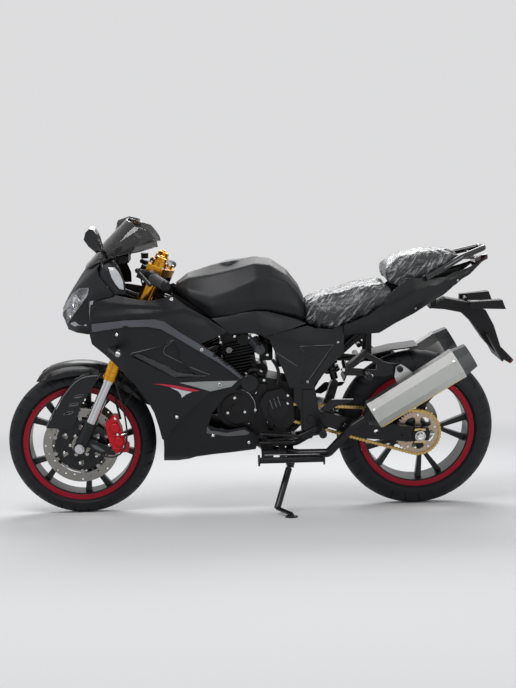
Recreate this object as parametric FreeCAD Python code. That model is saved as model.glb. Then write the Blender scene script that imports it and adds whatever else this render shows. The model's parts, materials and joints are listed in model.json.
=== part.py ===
import FreeCAD, Part
import math
import os

# A sport bike, standing on its side stand.
# It is drawn upright first: x is rearward from the front axle, y to the rider's right, z up from the ground.
# Every piece is then leaned onto the stand by the same turn. All sizes are millimetres.

os.makedirs("parts", exist_ok=True)
V = FreeCAD.Vector

# Driving sizes
WHEELBASE = 1330.0
RAKE = 25.0
FORK_OFFSET = 35.0
LEAN = 10.0
FRONT_R = 293.0
FRONT_W = 110.0
FRONT_CROWN = 55.0
REAR_R = 314.0
REAR_W = 140.0
REAR_CROWN = 70.0
CROWN_TURNS = (LEAN, 45.0, 90.0)
RIM_R = 232.0
FORK_Y = 98.0
DISC_R = 150.0
BAR_Y = 340.0
SPROCKET_R = 87.0
SPROCKET_TEETH = 43
PINION_R = 28.5
PINION_X = 790.0
PINION_Z = 418.0
CHAIN_Y = -92.0
SKIN = 3.5
SEAM = 0.3

REAR_Z = REAR_R + (REAR_CROWN - FRONT_CROWN) * (1 - math.cos(math.radians(LEAN)))
FRONT = V(0, 0, FRONT_R)
REAR = V(WHEELBASE, 0, REAR_Z)
SIN_R = math.sin(math.radians(RAKE))
COS_R = math.cos(math.radians(RAKE))
LIFT = FRONT_CROWN * (1 - math.cos(math.radians(LEAN)))

PIECES = {}


# Ways of drawing


def leg(s, y=0.0, back=0.0):
    """Point on the fork: s up the leg from the axle, y aside, back behind the leg line."""
    return V(s * SIN_R + back * COS_R, y, FRONT_R + s * COS_R - back * SIN_R)


def box(x0, x1, y0, y1, z0, z1):
    return Part.makeBox(x1 - x0, y1 - y0, z1 - z0, V(x0, y0, z0))


def plate(points, y0, y1):
    """Side outline of (x, z) points, as thick as y0 to y1."""
    wire = Part.makePolygon([V(x, y0, z) for x, z in points] + [V(points[0][0], y0, points[0][1])])
    return Part.Face(wire).extrude(V(0, y1 - y0, 0))


def slab(points, z0, z1):
    """Outline of (x, y) points seen from above, as high as z0 to z1."""
    wire = Part.makePolygon([V(x, y, z0) for x, y in points] + [V(points[0][0], points[0][1], z0)])
    return Part.Face(wire).extrude(V(0, 0, z1 - z0))


def rod(p, q, r):
    return Part.makeCylinder(r, (q - p).Length, p, q - p)


def disc(x, z, y0, y1, r):
    return Part.makeCylinder(r, y1 - y0, V(x, y0, z), V(0, 1, 0))


def ring(x, z, y0, y1, r, hole):
    return disc(x, z, y0, y1, r).cut(disc(x, z, y0 - 1, y1 + 1, hole))


def bent(points, r, bend):
    """Round bar along straight runs joined by arcs of radius bend."""
    edges = []
    last = points[0]
    for i in range(1, len(points) - 1):
        p = points[i]
        a = (points[i - 1] - p).normalize()
        b = (points[i + 1] - p).normalize()
        half = a.getAngle(b) / 2
        reach = bend / math.tan(half)
        mid = (a + b).normalize()
        start = p + a * reach
        end = p + b * reach
        centre = p + mid * (bend / math.sin(half))
        if (start - last).Length > 0.01:
            edges.append(Part.makeLine(last, start))
        edges.append(Part.Arc(start, centre - mid * bend, end).toShape())
        last = end
    edges.append(Part.makeLine(last, points[-1]))
    path = Part.Wire(edges)
    along = (points[1] - points[0]).normalize()
    profile = Part.Wire([Part.makeCircle(r, points[0], along)])
    return path.makePipeShell([profile], True, False)


def union(shapes):
    first = shapes[0]
    if len(shapes) > 1:
        first = first.fuse(shapes[1:])
    return first.removeSplitter()


def flip(shape):
    return shape.mirror(V(0, 0, 0), V(0, 1, 0))


def both(shape):
    return [shape, flip(shape)]


def sections(rows, ruled=True):
    """Solid through closed sections, each a list of points."""
    wires = [Part.makePolygon(list(row) + [row[0]]) for row in rows]
    return Part.makeLoft(wires, True, ruled)


def inset(line, t):
    """Line of (y, z) points moved t towards the inside, its right-hand side going along it."""
    moved = []
    last = len(line) - 1
    for i, (y, z) in enumerate(line):
        ay, az = line[max(i - 1, 0)]
        by, bz = line[min(i + 1, last)]
        dy = by - ay
        dz = bz - az
        size = math.hypot(dy, dz)
        moved.append((y - dz / size * t, z + dy / size * t))
    return moved


def skin(stations, t):
    """Curved panel of thickness t on the left side: stations of x and (half width, z) points from below up."""
    rows = []
    for x, line in stations:
        inner = inset(line, t)
        row = [V(x, -y, z) for y, z in line] + [V(x, -y, z) for y, z in reversed(inner)]
        rows.append(row)
    return sections(rows)


def hull(stations):
    """Whole body across both sides: stations of x and (half width, z) points from below up."""
    rows = []
    for x, line in stations:
        left = [V(x, -y, z) for y, z in line]
        right = [V(x, y, z) for y, z in reversed(line) if y > 0.01]
        rows.append(left + right)
    return sections(rows)


def shrunk(stations, t, along=True):
    """The same stations, t smaller all round."""
    last = len(stations) - 1
    small = []
    for i, (x, line) in enumerate(stations):
        moved = [(max(y, 0.0), z) for y, z in inset(line, t)]
        shift = 0.0
        if along and i == 0:
            shift = t
        if along and i == last:
            shift = -t
        small.append((x + shift, moved))
    return small


def add(node, shape):
    PIECES[node] = shape


# Wheels


def tyre(centre, radius, half, crown, rim_half):
    """Round-crowned tyre on the y axis."""
    x = centre.x
    z = centre.z
    outline = []
    for turn in CROWN_TURNS:
        a = math.radians(turn)
        outline.append((half * math.sin(a), radius - crown * (1 - math.cos(a))))
    outline.append((rim_half - 0.3, RIM_R + 1.0))
    outline.append((rim_half - 0.3, RIM_R - 17.7))
    outline = outline + [(-y, r) for y, r in reversed(outline)]
    corners = [V(x, y, z + r) for y, r in outline]
    face = Part.Face(Part.makePolygon(corners + [corners[0]]))
    return face.revolve(centre, V(0, 1, 0), 360)


def rim(centre, rim_half, hub_r, hub_left, hub_right, bore):
    """Cast wheel: barrel, two flanges, hub and five forked spokes."""
    x = centre.x
    z = centre.z
    parts = [ring(x, z, -rim_half - 0.1, rim_half + 0.1, RIM_R - 18, RIM_R - 26)]
    parts.append(ring(x, z, -rim_half - 4.5, -rim_half, RIM_R, RIM_R - 23))
    parts.append(ring(x, z, rim_half, rim_half + 4.5, RIM_R, RIM_R - 23))
    parts.append(disc(x, z, hub_left, hub_right, hub_r))
    stem = [(-19, 0), (19, 0), (14, 118), (-14, 118)]
    arm = [(-4, 96), (14, 104), (57, 204), (32, 209)]
    for k in range(5):
        for points, thick in ((stem, 13), (arm, 11), ([(-a, b) for a, b in arm], 11)):
            s = plate(points, -thick, thick)
            s.rotate(V(0, 0, 0), V(0, 1, 0), 72 * k + 20)
            s.translate(centre)
            parts.append(s)
    return union(parts).cut(disc(x, z, hub_left - 5, hub_right + 5, bore))


def brake_disc(centre, y0, y1, r, hub_r, holes):
    """Drilled band on a spoked carrier."""
    x = centre.x
    z = centre.z
    band = ring(x, z, y0, y1, r, r - 36)
    carrier = [ring(x, z, y0, y1, hub_r + 14, hub_r)]
    for k in range(6):
        arm = plate([(-8, hub_r + 6), (8, hub_r + 6), (6, r - 30), (-6, r - 30)], y0, y1)
        arm.rotate(V(0, 0, 0), V(0, 1, 0), 60 * k)
        arm.translate(centre)
        carrier.append(arm)
    drilled = []
    for k in range(holes):
        a = math.radians(360.0 / holes * k)
        rr = r - 10 - 8 * (k % 3)
        drilled.append(disc(x + rr * math.cos(a), z + rr * math.sin(a), y0 - 1, y1 + 1, 3.5))
    return union([band.cut(Part.makeCompound(drilled))] + carrier)


add("front_tyre", tyre(FRONT, FRONT_R, FRONT_W / 2, FRONT_CROWN, 38.0))
add("front_rim", rim(FRONT, 38.0, 34, -61.7, 61.7, 10.3))
front_brake = brake_disc(FRONT, -66.5, -62.0, DISC_R, 36, 24)
add("front_disc_left", union([front_brake, ring(0, FRONT_R, -66.5, -62.0, 40, 22)]))
add("front_disc_right", flip(PIECES["front_disc_left"]))

add("rear_tyre", tyre(REAR, REAR_R, REAR_W / 2, REAR_CROWN, 53.0))
add("rear_rim", rim(REAR, 53.0, 50, -88.7, 79.7, 10.3))
add("rear_disc", union([brake_disc(REAR, 80.0, 84.5, 110, 40, 18), ring(WHEELBASE, REAR_Z, 80, 84.5, 46, 22)]))

toothed = []
for k in range(SPROCKET_TEETH):
    a0 = 2 * math.pi * k / SPROCKET_TEETH
    half = math.pi / SPROCKET_TEETH
    for share, r in ((-0.9, SPROCKET_R - 10), (-0.35, SPROCKET_R - 5.6), (0.35, SPROCKET_R - 5.6)):
        a = a0 + share * half
        toothed.append((WHEELBASE + r * math.sin(a), REAR_Z + r * math.cos(a)))
sprocket = plate(toothed, CHAIN_Y - 3, CHAIN_Y + 3)
sprocket = sprocket.cut(disc(WHEELBASE, REAR_Z, CHAIN_Y - 4, CHAIN_Y + 4, 22))
windows = []
for k in range(5):
    w = ring(0, 0, CHAIN_Y - 4, CHAIN_Y + 4, 66, 50)
    reach = 90 * math.tan(math.radians(20))
    w = w.common(plate([(0, 0), (-reach, 90), (reach, 90)], CHAIN_Y - 4, CHAIN_Y + 4))
    w.rotate(V(0, 0, 0), V(0, 1, 0), 72 * k)
    w.translate(REAR)
    windows.append(w)
bolts = []
for k in range(5):
    a = math.radians(72 * k + 36)
    bolts.append(disc(WHEELBASE + 58 * math.sin(a), REAR_Z + 58 * math.cos(a), CHAIN_Y - 9, CHAIN_Y, 7))
add("rear_sprocket", union([sprocket.cut(Part.makeCompound(windows))] + bolts))


# Fork and steering, drawn square to the legs: x back from them, y aside, z up from the axle

FORK = FreeCAD.Placement(FRONT, FreeCAD.Rotation(V(0, 1, 0), RAKE))
GOLD_FROM = 294.0
TOP_CLAMP = 748.0
NECK_LENGTH = 158.0
LOW_CLAMP = TOP_CLAMP - NECK_LENGTH
LEG_TOP = TOP_CLAMP + 52.0


def on_fork(shape):
    shape.Placement = FORK.multiply(shape.Placement)
    return shape


def upright(y, back, s0, s1, r):
    return Part.makeCylinder(r, s1 - s0, V(back, y, s0))


grip_block = [(101, 386), (132, 415), (151, 413), (153, 384), (163, 362), (166, 336), (176, 309), (190, 291)]
grip_block = grip_block + [(187, 269), (134, 266), (115, 311), (107, 337)]
block = plate(grip_block, -103, -50)
block = block.cut(disc(0, FRONT_R, -70, -58.5, DISC_R + 6))
block = block.cut(disc(0, FRONT_R, -60, -40, DISC_R - 34))
pads = [disc(139, 368, -110, -103, 17), disc(152, 312, -110, -103, 17)]
add("caliper", union([block] + pads))



def fork_leg():
    parts = [upright(-FORK_Y, 0, GOLD_FROM, LEG_TOP, 28), upright(-FORK_Y, 0, GOLD_FROM - 12, GOLD_FROM, 24)]
    parts.append(upright(-FORK_Y, 0, 100, GOLD_FROM, 20.5))
    parts.append(upright(-FORK_Y, 0, 15, 108, 25.5))
    parts.append(upright(-FORK_Y, 0, LEG_TOP, LEG_TOP + 12, 22))
    parts.append(Part.makeCylinder(25.5, 50, V(0, -FORK_Y - 25, 0), V(0, 1, 0)))
    parts.append(box(-18, 18, -FORK_Y - 16, -FORK_Y + 16, -6, 20))
    body = union(parts)
    body = body.cut(Part.makeCylinder(10.3, 80, V(0, -FORK_Y - 40, 0), V(0, 1, 0)))
    lugs = [box(18, 112, -FORK_Y - 4, -FORK_Y + 8, 30, 46), box(18, 84, -FORK_Y - 4, -FORK_Y + 8, 84, 100)]
    return on_fork(union([body] + lugs)).cut(PIECES["caliper"])


add("fork_left", fork_leg())
add("fork_right", flip(PIECES["fork_left"]))


def clamp(s0, s1):
    """Bridge that holds both legs and the stem."""
    outline = [(-40, -FORK_Y - 20), (-40, -FORK_Y + 24), (0, -46), (0, 46), (-40, FORK_Y - 24), (-40, FORK_Y + 20)]
    outline = outline + [(20, FORK_Y + 38), (34, FORK_Y + 10), (62, 34), (66, 0), (62, -34)]
    outline = outline + [(34, -FORK_Y - 10), (20, -FORK_Y - 38)]
    s = slab(outline, s0, s1)
    for y in (-FORK_Y, FORK_Y):
        s = s.cut(upright(y, 0, s0 - 1, s1 + 1, 28 + SEAM))
    return s


stem = upright(0, FORK_OFFSET, LOW_CLAMP - 20, TOP_CLAMP + 8, 15)
nut = upright(0, FORK_OFFSET, TOP_CLAMP + 30, TOP_CLAMP + 40, 19)
crown = union([clamp(TOP_CLAMP, TOP_CLAMP + 30), clamp(LOW_CLAMP - 34, LOW_CLAMP), stem, nut])
stem_bore = upright(0, FORK_OFFSET, LOW_CLAMP - 40, TOP_CLAMP + 50, 7.5)
add("triple_clamps", on_fork(crown.cut(stem_bore)))


BAR_IN = leg(TOP_CLAMP - 5.4, -200, 2.4)
BAR_OUT = leg(TOP_CLAMP + 4.8, -BAR_Y + 8, 52.8)
BAR_ALONG = (BAR_OUT - BAR_IN).normalize()
BAR_ROOM = 6.0


def handlebar():
    """Clip-on bar with grip, switch block, lever and weight, on the left leg."""
    base = leg(TOP_CLAMP - 26, -FORK_Y, -44)
    inner = BAR_IN
    outer = BAR_OUT
    out = BAR_ALONG
    s0 = TOP_CLAMP - 42
    clip = upright(-FORK_Y, 0, s0, s0 + 32, 36)
    clip = on_fork(clip.fuse(box(-62, -10, -FORK_Y - 14, -FORK_Y + 14, s0 + 2, s0 + 30)))
    clip = clip.cut(rod(leg(s0 - 16, -FORK_Y), leg(s0 + 54, -FORK_Y), 28 + SEAM))
    start = inner - out * 96
    parts = [clip, rod(start, outer, 11), rod(inner, outer, 17), rod(outer, outer + out * 8, 15)]
    parts.append(rod(base, start + out * 8, 14))
    parts.append(rod(inner - out * 52, inner - out * 3, 23))
    perch = inner - out * 60
    elbow = perch + V(-46, -12, 22)
    parts.append(rod(perch + out * 4, perch + V(-30, 0, 14), 12))
    parts.append(rod(perch + V(-26, 0, 12), elbow, 9))
    parts.append(rod(elbow, outer + V(-58, 0, 4), 6.5))
    bar = union(parts)
    return bar.cut(rod(leg(s0 - 26, -FORK_Y), leg(LEG_TOP + 20, -FORK_Y), 28 + SEAM))


def bar_space():
    """Room left round the left bar and its lever."""
    root = BAR_IN - BAR_ALONG * 60 + V(-46, -12, 22)
    lever = rod(root, BAR_OUT + V(-58, 0, 4), 9 + BAR_ROOM)
    return rod(BAR_IN - BAR_ALONG * 110, BAR_OUT + BAR_ALONG * 20, 23 + BAR_ROOM).fuse(lever)


add("handlebar_left", handlebar())
add("handlebar_right", flip(PIECES["handlebar_left"]))
axle = disc(0, FRONT_R, -FORK_Y - 32, FORK_Y + 32, 10).fuse(disc(0, FRONT_R, FORK_Y + 26, FORK_Y + 36, 16))
axle = axle.fuse(disc(0, FRONT_R, -FORK_Y - 36, -FORK_Y - 26, 16))
for side in (-1, 1):
    spacer = ring(0, FRONT_R, min(side * 62.0, side * 72.2), max(side * 62.0, side * 72.2), 15, 10)
    axle = axle.fuse(spacer)
add("front_axle", axle.removeSplitter().cut(disc(0, FRONT_R, -200, 200, 6)))

arch = []
for a, b in ((278, 62), (301, 64), (318, 52), (327, 28), (329, 0), (327, -28), (318, -52), (301, -64), (278, -62)):
    arch.append((a, b))
for a, b in ((278, -58.5), (299, -60.5), (314, -50), (323.5, -27), (325.5, 0), (323.5, 27)):
    arch.append((a, b))
arch = arch + [(314, 50), (299, 60.5), (278, 58.5)]
arch_wire = Part.makePolygon([V(0, b, FRONT_R + a) for a, b in arch + [arch[0]]])
guard = Part.Face(arch_wire).revolve(FRONT, V(0, 1, 0), 360)
guard_side = [(-165, 552), (-150, 575), (-107, 606), (-37, 626), (45, 628), (109, 617), (164, 596), (226, 540)]
guard_side = guard_side + [(292, 436), (261, 451), (199, 496), (136, 520), (91, 560), (20, 560), (-36, 536)]
guard_side = guard_side + [(-69, 562), (-145, 550)]
guard = guard.common(plate(guard_side, -90, 90))
blade = [(92, 583), (20, 576), (-10, 564), (-32, 539), (-133, 368), (-36, 361), (-13, 399), (6, 456), (78, 560)]
blade_cut = []
for k in range(3):
    x = -62 + 22 * k
    z = 420 + 34 * k
    blade_cut.append(plate([(x, z), (x + 30, z + 4), (x + 38, z + 12), (x + 8, z + 8)], -90, -76.8))
cheek = plate(blade, -78, -74.5).cut(Part.makeCompound(blade_cut))
bridge = plate([(92, 583), (20, 576), (-10, 564), (10, 556), (78, 560)], -75, -58)
bridge = bridge.fuse(box(76, 128, -75, -60, 562, 581))
fender = union([guard] + both(cheek) + both(bridge))
add("front_fender", fender.cut(PIECES["fork_left"]).cut(PIECES["fork_right"]))


# Frame and engine

PIVOT = V(903, 0, 395)


def frame_side():
    upper = [leg(TOP_CLAMP - 89.7, -20, 41.7), V(470, -96, 802), V(700, -108, 742), V(880, -122, 650)]
    upper = bent(upper + [V(892, -130, 500)], 15, 50)
    cradle = [leg(LOW_CLAMP + 29, -14, 37.9), V(404, -52, 790), V(452, -80, 600), V(466, -88, 330)]
    lower = bent(cradle, 12, 36)
    rail = bent([V(700, -104, 288), V(846, -104, 288), V(900, -142, 330)], 12, 30)
    seats = [box(712, 732, -102, -84, 288, 332), box(800, 820, -102, -84, 288, 332)]
    ear = plate([(838, 545), (916, 545), (936, 420), (934, 362), (905, 316), (866, 316), (862, 430), (838, 466)],
                -150, -139)
    return union([upper, lower, rail, ear] + seats)


neck = rod(leg(LOW_CLAMP + 0.5, 0, FORK_OFFSET), leg(TOP_CLAMP - 0.5, 0, FORK_OFFSET), 31)
left_side = frame_side()
bars = [rod(V(452, -90, 806), V(452, 90, 806), 12), rod(V(880, -122, 646), V(880, 122, 646), 12)]
bars.append(rod(V(466, -90, 345), V(466, 90, 345), 10))
bars.append(rod(V(842, -104, 288), V(842, 104, 288), 10))
bars.append(rod(V(PIVOT.x, -156, PIVOT.z), V(PIVOT.x, 156, PIVOT.z), 12))
bars.append(rod(V(852, -145, 480), V(852, 145, 480), 8))
for y in (-80, 62):
    bars.append(box(456, 562, y, y + 18, 352, 402))
for y in (-85, 85):
    bars.append(rod(V(452, y, 800), V(452, y, 858), 9))
bars.append(rod(V(PIVOT.x, -162, PIVOT.z), V(PIVOT.x, -149, PIVOT.z), 17))
bars.append(rod(V(PIVOT.x, 149, PIVOT.z), V(PIVOT.x, 162, PIVOT.z), 17))
main = union([neck, left_side, flip(left_side)] + bars)
main = main.cut(rod(leg(LOW_CLAMP - 10, 0, FORK_OFFSET), leg(TOP_CLAMP + 12, 0, FORK_OFFSET), 21))
add("main_frame", main)

rail = [V(888, -74, 664), V(1010, -72, 722), V(1190, -66, 800), V(1420, -40, 900)]
strut = [V(925, -74, 520), V(1010, -70, 640), V(1190, -66, 792)]
rails = both(bent(rail, 11, 60)) + both(bent(strut, 9, 60))
rails = rails + [rod(V(915, -100, 512), V(930, -70, 526), 10), rod(V(915, 100, 512), V(930, 70, 526), 10)]
rails.append(rod(V(1190, -68, 797), V(1190, 68, 797), 9))
rails.append(rod(V(1400, -42, 893), V(1400, 42, 893), 9))
rails.append(rod(V(955, -74, 716), V(955, 74, 716), 11))
add("subframe", union(rails).cut(PIECES["main_frame"]))

case = plate([(562, 320), (545, 420), (566, 520), (640, 545), (740, 548), (820, 528), (872, 478), (868, 370),
              (842, 330), (800, 316), (600, 316)], -78, 78)
nose_case = plate([(575, 340), (556, 420), (575, 505), (700, 530), (820, 505), (850, 440), (845, 350), (790, 318),
                   (610, 318)], -98, 98)
pocket = box(736, 900, -100, -79.5, 340, 530)
starter = [disc(716, 576, -62, 40, 27), disc(716, 576, -70, -60, 18), box(700, 732, -60, 38, 540, 562)]
add("crankcase", union([case, nose_case.cut(pocket)] + starter).cut(PIECES["main_frame"]))

TILT = FreeCAD.Placement(V(640, 0, 548), FreeCAD.Rotation(V(0, 1, 0), -9))


def tilted(shape):
    shape.Placement = TILT.multiply(shape.Placement)
    return shape


fins = [box(-46, 46, -48, 48, 3, 92)]
for k in range(7):
    fins.append(box(-66, 66, -72, 72, 8 + 12 * k, 12.5 + 12 * k))
add("cylinder", tilted(union(fins)).cut(PIECES["crankcase"]))
head = [box(-48, 48, -52, 52, 92.3, 176), box(-60, 60, -66, 66, 92.3, 98)]
for k in range(4):
    head.append(box(-66, 66, -70, 70, 104 + 11 * k, 108.5 + 11 * k))
head.append(box(-56, 56, -60, 60, 150, 182))
head.append(box(-40, 40, -48, 48, 182, 196))
head.append(Part.makeCylinder(22, 26, V(30, -78, 150), V(0, 1, 0)))
add("cylinder_head", tilted(union(head)))

stator = [disc(615, 437, -122, -98.3, 76), disc(615, 437, -130, -122, 60), disc(615, 437, -134, -130, 22)]
stator.append(disc(668, 520, -116, -98.3, 33))
add("engine_cover_left", union(stator))
cover = [(714, 476), (736, 500), (794, 512), (836, 470), (842, 380), (800, 340), (752, 352), (722, 400), (706, 450)]
seat_of_cover = plate([(714, 476), (734, 500), (734, 352), (722, 400), (706, 450)], -105, -98.3)
add("sprocket_cover", union([plate(cover, -122, -104), disc(778, 430, -128, -120, 40), seat_of_cover]))
clutch = [disc(738, 420, 98.3, 128, 88), disc(610, 430, 98.3, 118, 66), disc(738, 420, 128, 136, 60)]
add("engine_cover_right", union(clutch))

carb = [rod(V(664, 0, 657), V(742, 0, 684), 24), rod(V(738, 0, 676), V(738, 0, 632), 27)]
carb.append(box(712, 764, -26, 26, 606, 640))
carb.append(rod(V(738, 0, 680), V(738, 0, 722), 30))
carb.append(box(776, 862, -62, 62, 586, 706))
carb.append(rod(V(736, 0, 678), V(780, 0, 682), 24))
add("carburettor", union(carb).cut(PIECES["cylinder_head"]).cut(PIECES["cylinder"]).cut(PIECES["crankcase"]))


# Exhaust

PIPE_IN = V(1134, -193, 415)
CAN_AXIS = V(355, 0, 211).normalize()


def header():
    start = V(562, -36, 676)
    run = [start, V(500, -44, 650), V(500, -48, 336), V(544, -52, 296), V(686, -60, 296), V(740, -76, 254),
           V(856, -140, 254)]
    run = run + [V(968, -172, 262), V(1062, -188, 368), PIPE_IN]
    return bent(run, 17, 26).cut(PIECES["cylinder_head"])


add("exhaust_left", header())
add("exhaust_right", flip(PIECES["exhaust_left"]))


def muffler():
    """Eight-sided can with its bands, end cap and hanger."""
    start = V(1140, -197, 418)

    def ring_at(s, w, h):
        up = V(-CAN_AXIS.z, 0, CAN_AXIS.x)
        points = []
        for a, b in ((-1, -0.45), (-1, 0.45), (-0.5, 1), (0.5, 1), (1, 0.45), (1, -0.45), (0.5, -1), (-0.5, -1)):
            points.append(start + CAN_AXIS * s + V(0, a * w, 0) + up * (b * h))
        return points

    can = sections([ring_at(-0.5, 47, 53), ring_at(380.5, 50, 57)])
    cone = sections([ring_at(-34, 24, 26), ring_at(0, 45, 51)])
    cap = sections([ring_at(380, 48, 55), ring_at(436, 40, 46)])
    parts = [can, cone, cap]
    for s in (0, 366):
        parts.append(sections([ring_at(s, 49 + s / 120, 55 + s / 120), ring_at(s + 14, 49 + s / 120, 55 + s / 120)]))
    bracket = [(1231, 596), (1250, 607), (1268, 596), (1303, 567), (1284, 540), (1240, 520), (1225, 560)]
    parts.append(plate(bracket, -176, -168))
    parts.append(rod(V(1243, -182, 585), V(1243, -146, 585), 8))
    whole = union(parts)
    whole = whole.cut(rod(start + CAN_AXIS * 392, start + CAN_AXIS * 450, 24))
    inlet = rod(start - CAN_AXIS * 40, start - CAN_AXIS * 6, 17 + SEAM)
    return whole.cut(inlet)


add("muffler_left", muffler().cut(PIECES["exhaust_left"]))
add("muffler_right", flip(PIECES["muffler_left"]))


# Rear suspension and chain

arm = [(884, 388), (888, 412), (908, 420), (960, 416), (1110, 372), (1290, 348), (1366, 342), (1372, 318),
       (1366, 292), (1290, 288), (1110, 306), (960, 360), (900, 371)]
arm_plate = plate(arm, -136, -108).cut(disc(1030, 366, -140, -100, 9)).cut(disc(1160, 332, -140, -100, 9))
slot = box(WHEELBASE - 20, WHEELBASE + 20, -140, -100, REAR_Z - 10.3, REAR_Z + 10.3)
arm_plate = arm_plate.cut(slot).cut(disc(1262, 316, -140, -100, 4.0))
swing = both(arm_plate)
swing.append(box(950, 1000, -110, 110, 368, 414))
swing.append(disc(PIVOT.x, PIVOT.z, -136, 136, 21))
swing.append(plate([(900, 378), (900, 412), (960, 410), (960, 376)], -78, 78))
swing.append(plate([(962, 410), (998, 410), (1026, 505), (1010, 524), (994, 510)], -16, 16))
pivot_hole = disc(PIVOT.x, PIVOT.z, -150, 150, 12.3)
add("swingarm", union(swing).cut(pivot_hole))

rear_axle = disc(WHEELBASE, REAR_Z, -158, 158, 10)
for y0, y1, r in ((-166, -150, 15), (150, 166, 15), (-107.7, -96.5, 16), (85.3, 107.7, 16)):
    rear_axle = rear_axle.fuse(disc(WHEELBASE, REAR_Z, y0, y1, r))
for y in (-146, 136.3):
    rear_axle = rear_axle.fuse(box(WHEELBASE - 26, WHEELBASE + 26, y, y + 9.7, REAR_Z - 16, REAR_Z + 16))
add("rear_axle", rear_axle.removeSplitter())

coil = []
shock_low = V(1010, 0, 520)
shock_up = V(960, 0, 720)
shock_line = (shock_up - shock_low).normalize()
for k in range(6):
    coil.append(rod(shock_low + shock_line * (42 + 21 * k), shock_low + shock_line * (52 + 21 * k), 29))
coil.append(rod(shock_low, shock_up, 15))
coil.append(rod(shock_low + shock_line * 30, shock_low + shock_line * 38, 31))
coil.append(rod(shock_up - shock_line * 40, shock_up - shock_line * 30, 31))
add("rear_shock", union(coil).cut(PIECES["swingarm"]).cut(PIECES["subframe"]))

FRONT_C = (PINION_X, PINION_Z)
REAR_C = (WHEELBASE, REAR_Z)
SPAN = math.hypot(REAR_C[0] - FRONT_C[0], REAR_C[1] - FRONT_C[1])
SLOPE = math.atan2(REAR_C[1] - FRONT_C[1], REAR_C[0] - FRONT_C[0])
OPEN = math.asin((SPROCKET_R - PINION_R) / SPAN)
TOP_N = SLOPE + math.pi / 2 + OPEN
LOW_N = SLOPE - math.pi / 2 - OPEN


def on_circle(c, r, a, y):
    return V(c[0] + r * math.cos(a), y, c[1] + r * math.sin(a))


def belt(e, y):
    """Closed loop round both sprockets, e outside their pitch line."""
    rf = PINION_R + e
    rr = SPROCKET_R + e
    back = SLOPE
    front = SLOPE + math.pi
    edges = [Part.makeLine(on_circle(FRONT_C, rf, TOP_N, y), on_circle(REAR_C, rr, TOP_N, y))]
    edges.append(Part.Arc(on_circle(REAR_C, rr, TOP_N, y), on_circle(REAR_C, rr, back, y),
                          on_circle(REAR_C, rr, LOW_N, y)).toShape())
    edges.append(Part.makeLine(on_circle(REAR_C, rr, LOW_N, y), on_circle(FRONT_C, rf, LOW_N, y)))
    edges.append(Part.Arc(on_circle(FRONT_C, rf, LOW_N, y), on_circle(FRONT_C, rf, front, y),
                          on_circle(FRONT_C, rf, TOP_N, y)).toShape())
    return Part.Face(Part.Wire(edges))


STRAIGHT = SPAN * math.cos(OPEN)
REAR_ARC = TOP_N - LOW_N
FRONT_ARC = 2 * math.pi - REAR_ARC
LOOP = 2 * STRAIGHT + REAR_ARC * SPROCKET_R + FRONT_ARC * PINION_R
LINKS = 2 * int(round(LOOP / 12.7 / 2))


def pin_at(s):
    s = s % LOOP
    if s < STRAIGHT:
        a = on_circle(FRONT_C, PINION_R, TOP_N, CHAIN_Y)
        b = on_circle(REAR_C, SPROCKET_R, TOP_N, CHAIN_Y)
        return a + (b - a) * (s / STRAIGHT)
    s = s - STRAIGHT
    if s < REAR_ARC * SPROCKET_R:
        return on_circle(REAR_C, SPROCKET_R, TOP_N - s / SPROCKET_R, CHAIN_Y)
    s = s - REAR_ARC * SPROCKET_R
    if s < STRAIGHT:
        a = on_circle(REAR_C, SPROCKET_R, LOW_N, CHAIN_Y)
        b = on_circle(FRONT_C, PINION_R, LOW_N, CHAIN_Y)
        return a + (b - a) * (s / STRAIGHT)
    s = s - STRAIGHT
    return on_circle(FRONT_C, PINION_R, LOW_N - s / PINION_R, CHAIN_Y)


band = belt(3.8, CHAIN_Y - 5).cut(belt(-3.8, CHAIN_Y - 5)).extrude(V(0, 10, 0))
links = []
for k in range(0, LINKS, 2):
    a = pin_at(LOOP / LINKS * k)
    b = pin_at(LOOP / LINKS * (k + 1))
    d = (b - a).normalize()
    n = V(-d.z, 0, d.x)
    corners = [a - d * 4 + n * 5.2, b + d * 4 + n * 5.2, b + d * 5 - n * 3.2, a - d * 5 - n * 3.2]
    links.append(plate([(p.x, p.z) for p in corners], CHAIN_Y - 7.6, CHAIN_Y + 7.6))
add("chain", union([band] + links))
add("front_sprocket", disc(PINION_X, PINION_Z, CHAIN_Y - 3, CHAIN_Y + 3, PINION_R - 4.6).fuse(
    disc(PINION_X, PINION_Z, CHAIN_Y - 8, -79.8, 12)))


# Bodywork: stations of x, each with (half width, height) points from below up

NOSE = [
    (-52, [(16, 800), (34, 806), (37, 818), (26, 832), (0, 836)]),
    (-30, [(60, 757), (88, 785), (92, 840), (60, 874), (0, 880)]),
    (5, [(90, 748), (122, 780), (126, 865), (88, 916), (0, 936)]),
    (48, [(118, 745), (150, 782), (154, 880), (112, 955), (0, 998)]),
    (100, [(138, 742), (168, 788), (172, 905), (132, 1005), (0, 1050)]),
    (170, [(150, 740), (182, 790), (184, 910), (150, 1035), (0, 1090)])]

SCREEN = [
    (47, [(58, 986), (50, 994), (28, 999), (0, 1000)]),
    (84, [(94, 1008), (84, 1020), (50, 1034), (0, 1041)]),
    (117, [(114, 1022), (104, 1046), (62, 1074), (0, 1085)]),
    (160, [(124, 1038), (115, 1078), (72, 1112), (0, 1127)]),
    (206, [(128, 1048), (118, 1098), (80, 1148), (0, 1171)]),
    (260, [(126, 1056), (117, 1120), (88, 1178), (0, 1212)]),
    (336, [(118, 1076), (113, 1140), (92, 1210), (0, 1262)])]

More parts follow.
